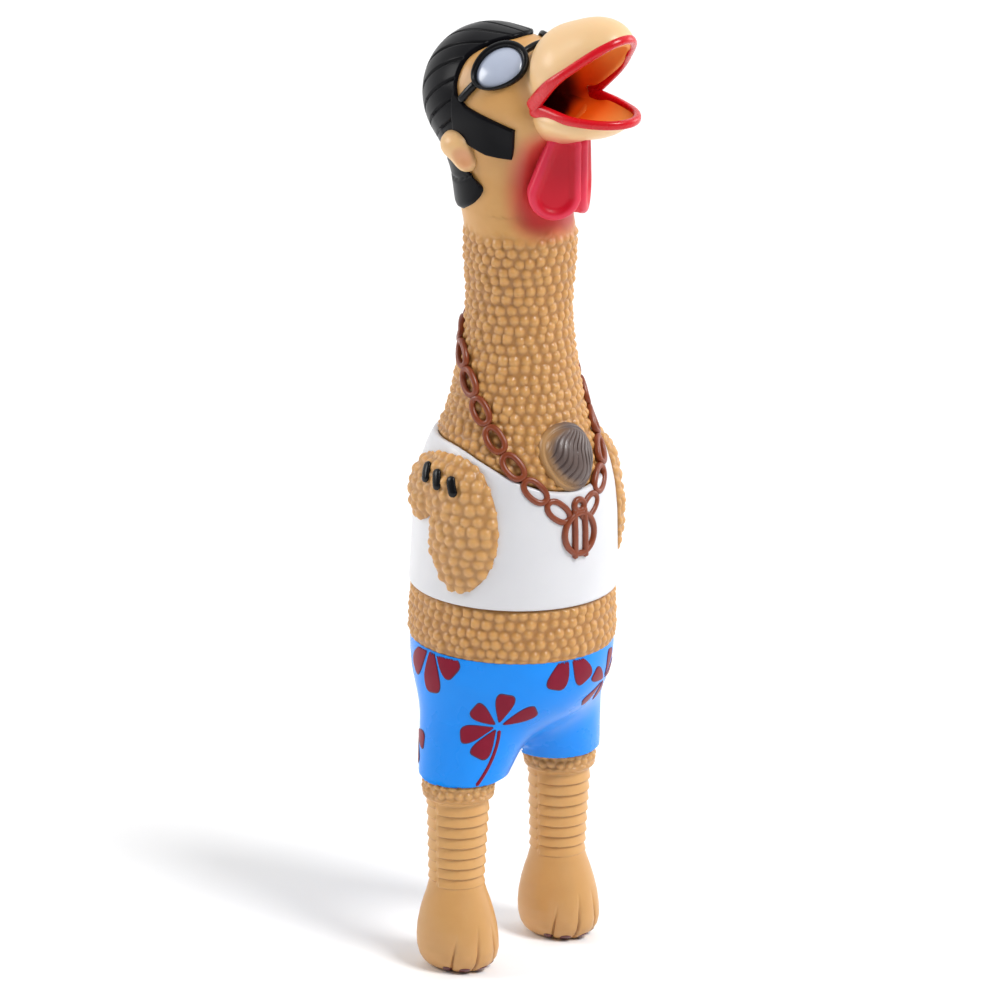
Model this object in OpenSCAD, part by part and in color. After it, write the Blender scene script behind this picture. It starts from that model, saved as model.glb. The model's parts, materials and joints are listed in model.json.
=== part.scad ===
// Squeaky rubber chicken that stands on two feet, in millimetres.
// +Z is up, the chicken faces -Y and its right side is on -X.
// The origin is on the floor, under the middle of the bounding box.
// The skin is hollow latex, cut into ball-and-socket pairs where it flexes.

/* [Skin] */
// Thickness of the latex wall
wall = 2.2; // [2:0.1:2.6]
// Clearance between two skins that flex against each other
flex_gap = 0.4; // [0.3:0.05:0.5]
// How far a painted relief area stands proud of the skin
relief = 1.1; // [0.9:0.1:1.3]

/* [Body] */
// Radius of the belly
belly_r = 45; // [44:0.5:46]
// Height of the waistband of the shorts
waist_z = 143; // [142:1:144]
// Height of the lower edge of the shirt
shirt_hem_z = 167; // [165:1:169]
// Height of the upper edge of the shirt at the back
shirt_top_z = 237; // [235:1:239]
// How far the chest, shirt and wings are turned towards the right leg, in degrees
torso_turn = 10; // [0:1:12]

/* [Neck] */
// Height of the lower flex of the neck
bend_z = 262; // [261:1:263]
// Height of the upper flex of the neck
sway_z = 300; // [299:1:301]
// Height of the cut between neck and head
turn_z = 333; // [332:1:334]
// Radius of the ball at the lower flex
bend_ball_r = 27; // [26.5:0.25:27.25]
// Radius of the ball at the upper flex
sway_ball_r = 21.8; // [21:0.2:22]

/* [Head] */
// Radius of the back of the cranium
cranium_r = 27; // [26.5:0.25:27.5]
// Height of the middle of the cranium
cranium_z = 391; // [390:1:392]
// Slope of the rim of the upper beak, in degrees
upper_rim_angle = 34; // [32:1:36]
// Height of the corners of the mouth
mouth_z = 396; // [395.5:0.5:396.5]

/* [Legs] */
// Distance of each leg from the middle plane
leg_x = 32; // [31:0.5:33]
// Height of the ankle flex
ankle_z = 39; // [38.5:0.5:39.5]
// Height of the hip flex
hip_z = 84; // [83.5:0.5:84.5]
// Height of the hem of the shorts
hem_z = 88.5; // [88:0.5:89]
// Radius of the shank at its top
shank_top_r = 14; // [13.5:0.25:14.25]
// Radius of the shank at its foot
shank_foot_r = 12.8; // [12.6:0.1:13]
// Number of rings on each shank
ring_count = 8; // [7:1:9]

/* [Chain] */
// Distance between two neighbouring links
link_pitch = 14; // [13.5:0.25:15]
// Outer length of a link
link_length = 12; // [11.5:0.25:12.5]
// Outer width of a link
link_width = 9.5; // [9:0.25:10]
// Thickness of the metal of a link
link_wire = 2.2; // [2:0.1:2.4]

/* [Squawker] */
// Outer radius of the squawker tube
tube_r = 9; // [8.8:0.1:9.2]
// Length of the squawker tube above the seat of the shorts
tube_length = 27; // [24:1:30]
// Distance of the squawker behind the middle of the body
tube_y = 7; // [6:0.5:8]

/* [Hidden] */
$fn = 64;
HULL_FN = 24;
SKIN_GAP = 0.05;
FAR = 200;
HAIR_RELIEF = relief + 0.6;
// The foremost ball of the lower beak and the hindmost ball of the cranium
BEAK_TIP_Y = -69;
BEAK_TIP_R = 4.5;
CRANIUM_Y = 23;
// Reach of the beak and of the hair from the axis of the body
BEAK_REACH = BEAK_TIP_R + relief - BEAK_TIP_Y;
HEAD_BACK = CRANIUM_Y + cranium_r + HAIR_RELIEF;
AXIS_Y = (BEAK_REACH - HEAD_BACK) / 2;
BAND_TOP = hip_z - 3;
ANKLE_BALL_R = 10.5;
HIP_BALL_R = 14.5;
HEM_R = 16.7;
// Seat of the squawker in the crotch, the collar around it and the spring ring on top
SEAT_Z = 97;
COLLAR_HEIGHT = 7;
RING_Z = SEAT_Z + COLLAR_HEIGHT + 0.1;
FLANGE_R = tube_r + 2.5;
FLANGE_THICK = 1.5;
CLIP_R = tube_r + 2.2;
REED_Z = SEAT_Z + 13;
NECK_BOTTOM = bend_z + 10;
NECK_SPLIT = sway_z + 9;
MOUTH_Y = -27;
JAW_CLEARANCE = 3;

// Height and radius of the skin, from the waist to the lower flex of the neck
TORSO = [
    [waist_z, belly_r], [155, belly_r + 0.2], [shirt_hem_z, belly_r - 0.4], [185, 44], [206, 43.4],
    [218, 42.2], [227, 40.3], [234, 38.4], [241, 35.2], [248, 32], [255, 29.3], [bend_z, bend_ball_r]
];
// Height and radius of the skin of the neck
NECK = [
    [NECK_BOTTOM, 27], [282, 25], [292, 24], [sway_z, 23.4], [NECK_SPLIT, 23.3], [320, 24.4], [turn_z, 25]
];

// ---- placing ----

// Moves a shape from the axis of the body to the origin's frame
module on_axis() {
    translate([0, AXIS_Y, 0]) children();
}

// The same, turned with the chest
module on_chest() {
    on_axis() rotate([0, 0, -torso_turn]) children();
}

// ---- skins of revolution ----

function radius_at(z) = z < bend_z ? lookup(z, TORSO) : lookup(z, NECK);

// Points of a table between two heights, moved outwards by gap
function table_points(table, z0, z1, gap) = concat(
    [[lookup(z0, table) + gap, z0]],
    [for (p = table) if (p[0] > z0 && p[0] < z1) [p[1] + gap, p[0]]],
    [[lookup(z1, table) + gap, z1]]
);

// Solid of revolution under a table
module solid_under(table, z0, z1, gap = 0) {
    rotate_extrude() polygon(concat([[0, z0]], table_points(table, z0, z1, gap), [[0, z1]]));
}

// Shell over a table, from gap_in to gap_out outside it
module shell_over(table, z0, z1, gap_in, gap_out) {
    outside = table_points(table, z0, z1, gap_out);
    inside = table_points(table, z0, z1, gap_in);
    rotate_extrude() polygon(concat(outside, [for (i = [len(inside) - 1:-1:0]) inside[i]]));
}

// Extrudes a drawing of the side view (y to the right, z up) through the whole width
module through_x(from = -FAR, to = FAR) {
    translate([from, 0, 0]) rotate([90, 0, 90]) linear_extrude(to - from) children();
}

// ---- torso ----

module torso_skin() {
    color("burlywood") on_axis() difference() {
        union() {
            solid_under(TORSO, waist_z, bend_z);
            translate([0, 0, bend_z]) sphere(bend_ball_r);
        }
        solid_under(TORSO, waist_z, bend_z, -wall);
        translate([0, 0, bend_z]) sphere(bend_ball_r - wall);
        translate([0, 0, waist_z - 1]) cylinder(r = belly_r - wall, h = 1.5);
        translate([0, 0, bend_z]) cylinder(r = 14, h = FAR);
    }
}

// One half of the shorts, from the round waist to the round hem of one leg
module shorts_half(side, gap) {
    hull() {
        translate([side * leg_x, 0, hem_z + min(gap, 0)]) cylinder(r = HEM_R + gap, h = 1.5, $fn = HULL_FN);
        translate([0, 0, waist_z - 5]) cylinder(r = belly_r + gap, h = 5 - min(gap, 0), $fn = 2 * HULL_FN);
    }
}

module shorts() {
    color("dodgerblue") on_axis() difference() {
        union() {
            difference() {
                for (side = [-1, 1]) shorts_half(side, 0);
                for (side = [-1, 1]) shorts_half(side, -wall);
            }
            translate([0, tube_y, SEAT_Z]) cylinder(r = tube_r + 3, h = COLLAR_HEIGHT);
        }
        for (side = [-1, 1]) translate([side * leg_x, 0, hem_z - 5]) cylinder(r = HIP_BALL_R + 0.5, h = 9);
        translate([0, tube_y, SEAT_Z - 1]) cylinder(r = tube_r + SKIN_GAP, h = 20);
        translate([0, tube_y, SEAT_Z - FLANGE_THICK - 1]) cylinder(r = FLANGE_R + SKIN_GAP, h = FLANGE_THICK + 1);
        translate([0, tube_y, RING_Z - SKIN_GAP]) cylinder(r = CLIP_R + SKIN_GAP, h = 4);
        translate([0, 0, waist_z]) cylinder(r = FAR, h = 10);
    }
}

module tank_top() {
    scoop_r = 45;
    color("whitesmoke") on_chest() difference() {
        shell_over(TORSO, shirt_hem_z, shirt_top_z, SKIN_GAP, relief);
        translate([0, 0, 222 + scoop_r]) rotate([90, 0, 0]) cylinder(r = scoop_r, h = FAR);
    }
}

module chest_tuft() {
    color("dimgray") on_chest() difference() {
        translate([0, -26, 236]) sphere(18);
        solid_under(TORSO, waist_z, bend_z, SKIN_GAP);
    }
}

// ---- neck chain ----

// Height of the chain where it crosses a direction, in degrees from the chest
function chain_z(turn) =
    let (s = sin(turn / 2))
    207 + 92 * pow(s, 1.15) * (1 - 0.12 * pow(s, 6));
function chain_slope(turn) = chain_z(turn + 0.5) - chain_z(turn - 0.5);
function chain_arc(turn) =
    let (along = radius_at(chain_z(turn)) * PI / 180)
    sqrt(along * along + pow(chain_slope(turn), 2));
// Directions of the links of one side, one pitch apart, from the pendant to the nape
function link_turns(turn) = turn > 172 ? [] : concat([turn], link_turns(turn + link_pitch / chain_arc(turn)));
LINKS = link_turns(11);
// How far the middle of a link stands off the skin
CHAIN_LIFT = 3.8;
// Room that the flared chest needs when the neck bends
BEND_ROOM_R = 30.8;

// Flat oval ring lying in the drawing plane
module link() {
    straight = link_length - link_width;
    linear_extrude(link_wire, center = true) difference() {
        union() {
            square([straight, link_width], center = true);
            for (end = [-1, 1]) translate([end * straight / 2, 0]) circle(d = link_width);
        }
        square([straight, link_width - 2 * link_wire], center = true);
        for (end = [-1, 1]) translate([end * straight / 2, 0]) circle(d = link_width - 2 * link_wire);
    }
}

// Link on the skin at a direction from the chest, along the chain
module link_on_skin(turn, side) {
    z = chain_z(turn);
    lean = atan(chain_slope(turn) / (radius_at(z) * PI / 180));
    tilt = atan((radius_at(z + 3) - radius_at(z - 3)) / 6);
    rotate([0, 0, side * turn])
        translate([0, -radius_at(z) - CHAIN_LIFT, z])
            rotate([90 - tilt, 0, 0])
                rotate([0, 0, side * lean]) link();
}

module links_between(z0, z1) {
    for (side = [-1, 1], turn = LINKS)
        if (chain_z(turn) >= z0 && chain_z(turn) < z1) link_on_skin(turn, side);
}

module chain_links() {
    color("saddlebrown") on_chest() difference() {
        links_between(0, bend_z);
        solid_under(TORSO, waist_z, bend_z, relief + SKIN_GAP);
    }
}

module chain_links_upper() {
    color("saddlebrown") on_chest() difference() {
        links_between(bend_z, FAR * 2);
        solid_under(NECK, bend_z, NECK_SPLIT, SKIN_GAP);
        intersection() {
            translate([0, 0, bend_z]) sphere(BEND_ROOM_R);
            cylinder(r = FAR, h = bend_z + 8);
        }
    }
}

// Openwork ring with two upright bars
module pendant() {
    pendant_r = 9.2;
    bar = 2.2;
    color("saddlebrown") on_chest() translate([0, -46.2, 200]) rotate([90, 0, 0]) linear_extrude(2) {
        difference() {
            circle(pendant_r);
            circle(pendant_r - 2.5);
        }
        for (side = [-1, 1]) translate([side * 2.6, 0]) square([bar, 19], center = true);
    }
}

// ---- squawker ----

module at_tube(z) {
    on_axis() translate([0, tube_y, z]) children();
}

module squawker_housing() {
    color("ivory") at_tube(SEAT_Z) difference() {
        union() {
            translate([0, 0, -FLANGE_THICK]) cylinder(r = FLANGE_R, h = FLANGE_THICK);
            cylinder(r = tube_r, h = tube_length);
        }
        translate([0, 0, -2]) cylinder(r = tube_r - 1.4, h = tube_length + 5);
    }
}

module squawker_grille() {
    color("ivory") at_tube(SEAT_Z) difference() {
        cylinder(r = tube_r - 1.45, h = 1.4);
        for (row = [-1:1]) translate([row * 4 - 0.8, -5 + abs(row), -1]) cube([1.6, 10 - 2 * abs(row), 4]);
    }
}

module squawker_ring() {
    color("silver") at_tube(RING_Z) difference() {
        cylinder(r = CLIP_R, h = 1.6);
        translate([0, 0, -1]) cylinder(r = tube_r + 0.1, h = 4);
        translate([-2, 0, -1]) cube([4, FAR, 4]);
    }
}

module reed_plate() {
    color("ivory") at_tube(REED_Z - 2) difference() {
        cylinder(r = tube_r - 1.45, h = 2);
        translate([-1.5, -5, -1]) cube([3, 7, 4]);
    }
}

module reed_clamp() {
    color("silver") at_tube(REED_Z + 0.05) translate([-3.5, 2.7, 0]) cube([7, 3, 2]);
}

module reed_tongue() {
    color("gold") at_tube(REED_Z + 0.1) translate([-2, -5.5, 0]) cube([4, 8.1, 0.35]);
}

// ---- neck ----

module neck_lower_skin() {
    color("burlywood") on_axis() difference() {
        union() {
            solid_under(NECK, NECK_BOTTOM, sway_z - 1.5);
            translate([0, 0, sway_z]) sphere(sway_ball_r);
        }
        solid_under(NECK, NECK_BOTTOM, sway_z - 1.5, -wall);
        translate([0, 0, sway_z]) sphere(sway_ball_r - wall);
        translate([0, 0, bend_z]) sphere(bend_ball_r + flex_gap);
        translate([0, 0, sway_z]) cylinder(r = 11, h = FAR);
    }
}

module neck_upper_skin() {
    color("burlywood") on_axis() difference() {
        shell_over(NECK, NECK_SPLIT, turn_z - flex_gap / 2, -wall, 0);
        translate([0, 0, sway_z]) sphere(sway_ball_r + flex_gap);
    }
}

// ---- head ----

// Cranium, cheeks and throat, moved outwards by gap
module head_form(gap) {
    hull() {
        translate([0, CRANIUM_Y, cranium_z]) sphere(cranium_r + gap, $fn = HULL_FN);
        translate([0, 5, cranium_z + 3]) sphere(cranium_r + gap, $fn = HULL_FN);
        translate([0, -7, cranium_z - 8]) sphere(cranium_r - 5 + gap, $fn = HULL_FN);
        translate([0, 0, turn_z + flex_gap / 2]) cylinder(r = 25 + gap, h = 10, $fn = 2 * HULL_FN);
    }
}

// Shell over the head, from gap_in to gap_out outside it, as far as the drawing of the side view covers it
module on_head(gap_in, gap_out) {
    intersection() {
        difference() {
            head_form(gap_out);
            head_form(gap_in);
        }
        children();
    }
}

module head_skin() {
    color("burlywood") on_axis() difference() {
        head_form(0);
        difference() {
            head_form(-wall);
            translate([-FAR, -FAR, 0]) cube([2 * FAR, 2 * FAR, turn_z + 2]);
        }
        translate([0, 0, turn_z - 1]) cylinder(r = 25 - wall, h = 6);
        translate([0, 0, 398]) rotate([90, 0, 0]) cylinder(r = 8, h = FAR);
    }
}

module hair_cap() {
    color("black") on_axis() difference() {
        on_head(SKIN_GAP, HAIR_RELIEF) through_x()
            polygon([[-8, 430], [-6, 417], [10, 400], [17, 384], [17, 352], [28, 341], [60, 341], [60, 430]]);
        for (side = [-1, 1]) at_lens(side) cylinder(r = FRAME_R + 0.2, h = 26, center = true);
    }
}

module sideburn(side) {
    color("black") on_axis() on_head(SKIN_GAP, HAIR_RELIEF) through_x(min(side * FAR, 0), max(side * FAR, 0))
        polygon([[12.3, 394], [-20, 383], [-19, 369], [2, 374], [16.7, 382], [16.7, 384]]);
}

module ear(side) {
    color("burlywood") on_axis() difference() {
        hull() {
            translate([side * 26, 7, 374]) sphere(4.5, $fn = HULL_FN);
            translate([side * 27, 11, 368]) sphere(5.5, $fn = HULL_FN);
        }
        head_form(HAIR_RELIEF + 0.1);
    }
}

LENS_R = 9.1;
FRAME_R = 11.5;

// Places a shape on the lens of one side, looking outwards
module at_lens(side) {
    translate([side * 18, -5, 408]) rotate([0, 0, side * 61]) rotate([55, 0, 0]) children();
}

module sunglasses_frame() {
    color("black") on_axis() on_head(0.2, 2.4) difference() {
        union() {
            for (side = [-1, 1]) at_lens(side) cylinder(r = FRAME_R, h = 24, center = true);
            through_x() polygon([[-1, 403], [12, 396.5], [10, 392.5], [-3, 399]]);
            translate([-8, -18, 412]) cube([16, 5, 20]);
        }
        for (side = [-1, 1]) at_lens(side) cylinder(r = LENS_R + 0.1, h = 26, center = true);
        translate([-FAR, 9.5, 0]) cube([2 * FAR, FAR, FAR * 3]);
    }
}

module lens(side) {
    color("lightsteelblue") on_axis() on_head(0.2, 1.4) at_lens(side) cylinder(r = LENS_R, h = 26, center = true);
}

module wattle(side) {
    color("crimson") on_axis() difference() {
        hull() {
            translate([side * 7, -31, 371]) sphere(3.5, $fn = HULL_FN);
            translate([side * 9, -30, 351]) sphere(8.8, $fn = HULL_FN);
        }
        head_form(SKIN_GAP);
    }
}

// ---- beak ----

module upper_beak_form(gap) {
    hull() {
        translate([0, -37, 413]) sphere(18 + gap, $fn = HULL_FN);
        translate([0, -55, 417]) sphere(12 + gap, $fn = HULL_FN);
        translate([0, -66, 423.5]) sphere(4.5 + gap, $fn = HULL_FN);
        for (side = [-1, 1]) translate([side * 17.5, -30, 401]) sphere(5 + gap, $fn = HULL_FN);
    }
}

module lower_beak_form(gap) {
    hull() {
        translate([0, BEAK_TIP_Y, 389.5]) sphere(BEAK_TIP_R + gap, $fn = HULL_FN);
        translate([0, -46, 389]) sphere(8 + gap, $fn = HULL_FN);
        for (side = [-1, 1]) {
            translate([side * 18, -31, 391]) sphere(5 + gap, $fn = HULL_FN);
            translate([side * 13, -56, 390]) sphere(5 + gap, $fn = HULL_FN);
        }
    }
}

// Everything above the rim of the upper beak, from offset above it to thick above that
module above_upper_rim(offset = 0, thick = FAR) {
    translate([0, MOUTH_Y, mouth_z + 0.8]) rotate([-upper_rim_angle, 0, 0])
        translate([-FAR, -FAR, offset]) cube([2 * FAR, 2 * FAR, thick]);
}

// Everything below the rim of the lower beak, from offset below it to thick below that
module below_lower_rim(offset = 0, thick = FAR) {
    translate([0, MOUTH_Y, mouth_z - 0.8]) rotate([5, 0, 0])
        translate([-FAR, -FAR, -offset - thick]) cube([2 * FAR, 2 * FAR, thick]);
}

module upper_beak() {
    color("wheat") on_axis() intersection() {
        difference() {
            upper_beak_form(0);
            upper_beak_form(-wall);
            head_form(SKIN_GAP);
        }
        above_upper_rim();
    }
}

module upper_lip() {
    color("red") on_axis() intersection() {
        difference() {
            upper_beak_form(relief);
            upper_beak_form(SKIN_GAP);
            head_form(SKIN_GAP);
        }
        above_upper_rim(0, 4);
    }
}

module mouth_lining() {
    color("darkorange") on_axis() intersection() {
        difference() {
            upper_beak_form(-wall - SKIN_GAP);
            upper_beak_form(-wall - 1.3);
            head_form(SKIN_GAP);
        }
        above_upper_rim(0.5);
    }
}

module lower_beak() {
    color("wheat") on_axis() intersection() {
        difference() {
            lower_beak_form(0);
            lower_beak_form(-wall);
            head_form(JAW_CLEARANCE);
        }
        below_lower_rim();
    }
}

module lower_lip() {
    color("red") on_axis() intersection() {
        difference() {
            lower_beak_form(relief);
            lower_beak_form(SKIN_GAP);
            head_form(JAW_CLEARANCE);
        }
        below_lower_rim(0, 4);
    }
}

// ---- wings ----

WING_LOW_Z = 172;
WING_HIGH_Z = 229;
WING_OUT = 6.5;

// Side view of a folded wing: the long front lobe and the short rear lobe
module wing_outline() {
    translate([-18, 190]) circle(15.5);
    translate([-16, 211]) circle(15.5);
    translate([-32.5, 190]) square([30, 21]);
    translate([6, 208]) circle(11.5);
}

module wing(side) {
    color("burlywood") on_chest() intersection() {
        shell_over(TORSO, WING_LOW_Z, WING_HIGH_Z, relief + 0.5, WING_OUT);
        through_x(min(side * FAR, 0), max(side * FAR, 0)) wing_outline();
    }
}

// Three raised marks across the shoulder of the right wing
module arm_marks() {
    color("black") on_chest() intersection() {
        shell_over(TORSO, WING_LOW_Z, WING_HIGH_Z, WING_OUT + SKIN_GAP, WING_OUT + 1);
        through_x(-FAR, 0)
            for (mark = [0:2]) translate([-13 + 7 * mark, 217 - mark]) rotate(35) square([4.5, 8], center = true);
    }
}

// ---- legs ----

// Half section of a ringed shank, from the ankle to the nubby band
function shank_points(z0, z1) = [
    for (i = [0:ring_count - 1], edge = [0, 1])
        let (t = (i + edge) / ring_count)
        [shank_foot_r + (shank_top_r - shank_foot_r) * t + (edge == 0 ? 0.3 : -0.4), z0 + (z1 - z0) * t]
];

module leg(side) {
    shank_bottom = ankle_z + 4.8;
    color("burlywood") on_axis() translate([side * leg_x, 0, 0]) difference() {
        union() {
            rotate_extrude() polygon(concat(
                [[0, shank_bottom]],
                shank_points(shank_bottom, BAND_TOP - 3),
                [[15.5, BAND_TOP - 2], [15.5, BAND_TOP], [0, BAND_TOP]]
            ));
            intersection() {
                translate([0, 0, hip_z]) sphere(HIP_BALL_R);
                translate([0, 0, BAND_TOP - 1]) cylinder(r = FAR, h = FAR);
            }
        }
        translate([0, 0, ankle_z]) sphere(ANKLE_BALL_R + flex_gap);
        translate([0, 0, ankle_z]) cylinder(r = ANKLE_BALL_R + 0.3, h = hip_z - ankle_z);
        translate([0, 0, hip_z]) sphere(HIP_BALL_R - wall);
    }
}

module foot_form(gap) {
    hull() {
        translate([0, -8, -min(gap, 0)]) cylinder(r = 13 + gap, h = 3, $fn = HULL_FN);
        translate([0, 4, -min(gap, 0)]) cylinder(r = 12 + gap, h = 3, $fn = HULL_FN);
        translate([0, -3, 17]) sphere(17 + gap, $fn = HULL_FN);
        translate([0, 0, ankle_z - 2]) cylinder(r = 12.4 + gap, h = 1, $fn = HULL_FN);
    }
}

module foot(side) {
    color("burlywood") on_axis() translate([side * leg_x, 0, 0]) difference() {
        union() {
            foot_form(0);
            translate([0, 0, ankle_z]) sphere(ANKLE_BALL_R);
        }
        foot_form(-wall);
        translate([0, 0, ankle_z]) sphere(ANKLE_BALL_R - wall);
        translate([0, 0, ankle_z]) cylinder(r = 5, h = FAR);
    }
}

module toe_nails(side) {
    nail_r = 3;
    color("maroon") on_axis() translate([side * leg_x, 0, 0]) difference() {
        for (toe = [-1:1]) translate([toe * 9.5, -19 + 2.5 * abs(toe), 2 * nail_r]) sphere(nail_r);
        foot_form(SKIN_GAP);
    }
}

torso_skin();
shorts();
tank_top();
chest_tuft();
chain_links();
pendant();
squawker_housing();
squawker_grille();
squawker_ring();
reed_plate();
reed_clamp();
reed_tongue();
neck_lower_skin();
chain_links_upper();
neck_upper_skin();
head_skin();
hair_cap();
sideburn(-1);  // right_sideburn
sideburn(1);  // left_sideburn
ear(-1);  // right_ear
ear(1);  // left_ear
sunglasses_frame();
lens(-1);  // right_lens
lens(1);  // left_lens
wattle(-1);  // right_wattle
wattle(1);  // left_wattle
upper_beak();
upper_lip();
mouth_lining();
lower_beak();
lower_lip();
wing(-1);  // right_wing
arm_marks();
wing(1);  // left_wing
leg(-1);  // right_leg
leg(1);  // left_leg
foot(-1);  // right_foot
foot(1);  // left_foot
toe_nails(-1);  // right_toe_nails
toe_nails(1);  // left_toe_nails
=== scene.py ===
"""Looks of the squeaky rubber chicken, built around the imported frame.

Every shape is worked out in millimetres from the axis of the body, with +Z up and the
chicken facing -Y, and is turned into metres in the frame when its mesh is made. Soft
rounded forms are implicit solids: a distance function is meshed on a grid and its
points are then snapped to the true surface. Regular skins are grids of points.
"""

import json
import logging
import math
from dataclasses import dataclass, field
from enum import Enum
from typing import Callable, Iterable, Sequence

import bpy
import numpy as np
from mathutils import Matrix, Vector


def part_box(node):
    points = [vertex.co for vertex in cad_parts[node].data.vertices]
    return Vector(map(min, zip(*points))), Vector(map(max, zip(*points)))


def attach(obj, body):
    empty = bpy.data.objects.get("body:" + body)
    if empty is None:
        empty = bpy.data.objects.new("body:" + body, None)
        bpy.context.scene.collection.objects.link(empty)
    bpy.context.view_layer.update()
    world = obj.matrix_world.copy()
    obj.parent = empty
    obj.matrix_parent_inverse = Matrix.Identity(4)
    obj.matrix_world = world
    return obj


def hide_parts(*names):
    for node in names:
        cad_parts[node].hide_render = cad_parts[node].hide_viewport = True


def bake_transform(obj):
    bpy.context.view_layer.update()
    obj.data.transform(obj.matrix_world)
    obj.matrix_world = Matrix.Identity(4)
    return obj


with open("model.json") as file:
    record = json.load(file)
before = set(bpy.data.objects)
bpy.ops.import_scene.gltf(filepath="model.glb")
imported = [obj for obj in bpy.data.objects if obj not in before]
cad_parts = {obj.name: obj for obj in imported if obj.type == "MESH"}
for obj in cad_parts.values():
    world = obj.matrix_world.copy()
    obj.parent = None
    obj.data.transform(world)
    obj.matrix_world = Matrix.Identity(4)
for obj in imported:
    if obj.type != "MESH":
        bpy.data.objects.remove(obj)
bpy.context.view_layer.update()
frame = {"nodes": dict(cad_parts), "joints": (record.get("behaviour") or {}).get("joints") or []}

log = logging.getLogger("chicken")

Colour = tuple[float, float, float]
Points = np.ndarray
Field = Callable[[Points], np.ndarray]

MM = 0.001


# ---- the frame ----


def joint_place(name: str) -> Points:
    """Return a joint's place in millimetres, in the frame's own axes."""
    row = next(j for j in frame["joints"] if j["name"] == name)
    return np.array(row["pos_m"], float) / MM


AXIS_Y = joint_place("neck_bend")[1]
BEND_Z = joint_place("neck_bend")[2]
SWAY_Z = joint_place("neck_sway")[2]
TURN_Z = joint_place("head_turn")[2]
LEG_X = joint_place("left_hip_swing")[0]
WAIST_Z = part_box("torso_skin")[0][2] / MM + 4.0
HEM_Z = 88.5
SHIRT_HEM_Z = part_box("tank_top")[0][2] / MM + 5.0
SHIRT_TOP_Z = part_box("tank_top")[1][2] / MM
CHEST_TURN = math.radians(-6.5)


class Side(Enum):
    """The chicken's own right and left, as the sign of X."""

    RIGHT = -1
    LEFT = 1

    @property
    def word(self) -> str:
        """The side in lower case, as the frame's names use it."""
        return self.name.lower()


def to_frame(points: Points) -> Points:
    """Turn points from the body's axis in millimetres into the frame in metres."""
    return (points + np.array([0.0, AXIS_Y, 0.0])) * MM


def place(x: float, y: float, z: float) -> tuple[float, float, float]:
    """Return one point of the frame, in metres, from millimetres off the axis."""
    return tuple(to_frame(np.array([x, y, z], float)))


# ---- small mathematics ----


def ease(low: float, high: float, value: Points) -> Points:
    """Return a smooth step.

    Args:
        low: value at which the step starts, at 0.
        high: value at which it ends, at 1.
        value: where it is wanted.

    Returns:
        The height of the step, 0 to 1.
    """
    t = np.clip((value - low) / (high - low), 0.0, 1.0)
    return t * t * (3.0 - 2.0 * t)


def soft_min(a: Points, b: Points, width: float) -> Points:
    """Join two solids with a rounded crease.

    Args:
        a: distances to the first solid.
        b: distances to the second.
        width: how far the rounding reaches.

    Returns:
        The smaller distance, rounded where the two cross.
    """
    h = np.clip(0.5 + 0.5 * (b - a) / width, 0.0, 1.0)
    return b * (1 - h) + a * h - width * h * (1 - h)


def soft_max(a: Points, b: Points, width: float) -> Points:
    """Return the larger of two distances, rounded over width where they cross."""
    return -soft_min(-a, -b, width)


def unit(vectors: Points) -> Points:
    """Return vectors scaled to a length of one."""
    return vectors / np.maximum(np.linalg.norm(vectors, axis=-1, keepdims=True), 1e-9)


def rounded_edge(share: Points) -> Points:
    """Return the height of a quarter-round edge, 0 to 1, at a share of its width."""
    return np.sqrt(np.clip(1 - (1 - np.clip(share, 0, 1)) ** 2, 0, 1))


def pitched(points: Points, angle: float) -> Points:
    """Turn points about the X axis by an angle in radians."""
    return points @ np.array(Matrix.Rotation(angle, 3, "X")).T


def ball(points: Points, centre: Sequence[float], radii: Sequence[float]) -> Points:
    """Return the distance to an ellipsoid, exact at its surface.

    Args:
        points: where the distance is wanted.
        centre: middle of the ellipsoid.
        radii: its three half axes.

    Returns:
        One distance a point, negative inside.
    """
    q = (points - np.array(centre, float)) / np.array(radii, float)
    near = np.linalg.norm(q, axis=-1)
    steep = np.linalg.norm(q / np.array(radii, float), axis=-1)
    return near * (near - 1.0) / np.maximum(steep, 1e-9)


def cone(points: Points, a: Sequence[float], b: Sequence[float], ra: float, rb: float) -> Points:
    """Return the distance to a cone with round ends.

    Args:
        points: where the distance is wanted.
        a: middle of one end.
        b: middle of the other end.
        ra: radius at a.
        rb: radius at b.

    Returns:
        One distance a point, negative inside.
    """
    start = np.array(a, float)
    along = np.array(b, float) - start
    t = np.clip(((points - start) @ along) / (along @ along), 0.0, 1.0)
    return np.linalg.norm(points - start - t[..., None] * along, axis=-1) - (ra + (rb - ra) * t)


def slope_of(shape: Field, points: Points, step: float = 0.05) -> Points:
    """Return the outward direction of a distance function.

    Args:
        shape: the distance function.
        points: where the direction is wanted.
        step: how far apart it is sampled.

    Returns:
        One unit vector a point.
    """
    steps = step * np.eye(3)
    grown = np.stack([shape(points + away) - shape(points - away) for away in steps], axis=-1)
    return unit(grown)


def snapped(shape: Field, points: Points, gap: float = 0.0, rounds: int = 6) -> Points:
    """Move points along the slope of a distance function onto its surface.

    Args:
        shape: the distance function.
        points: points to move.
        gap: how far outside the surface they end.
        rounds: how often each point is corrected.

    Returns:
        The moved points.
    """
    for _ in range(rounds):
        points = points - (shape(points) - gap)[..., None] * slope_of(shape, points)
    return points


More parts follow.
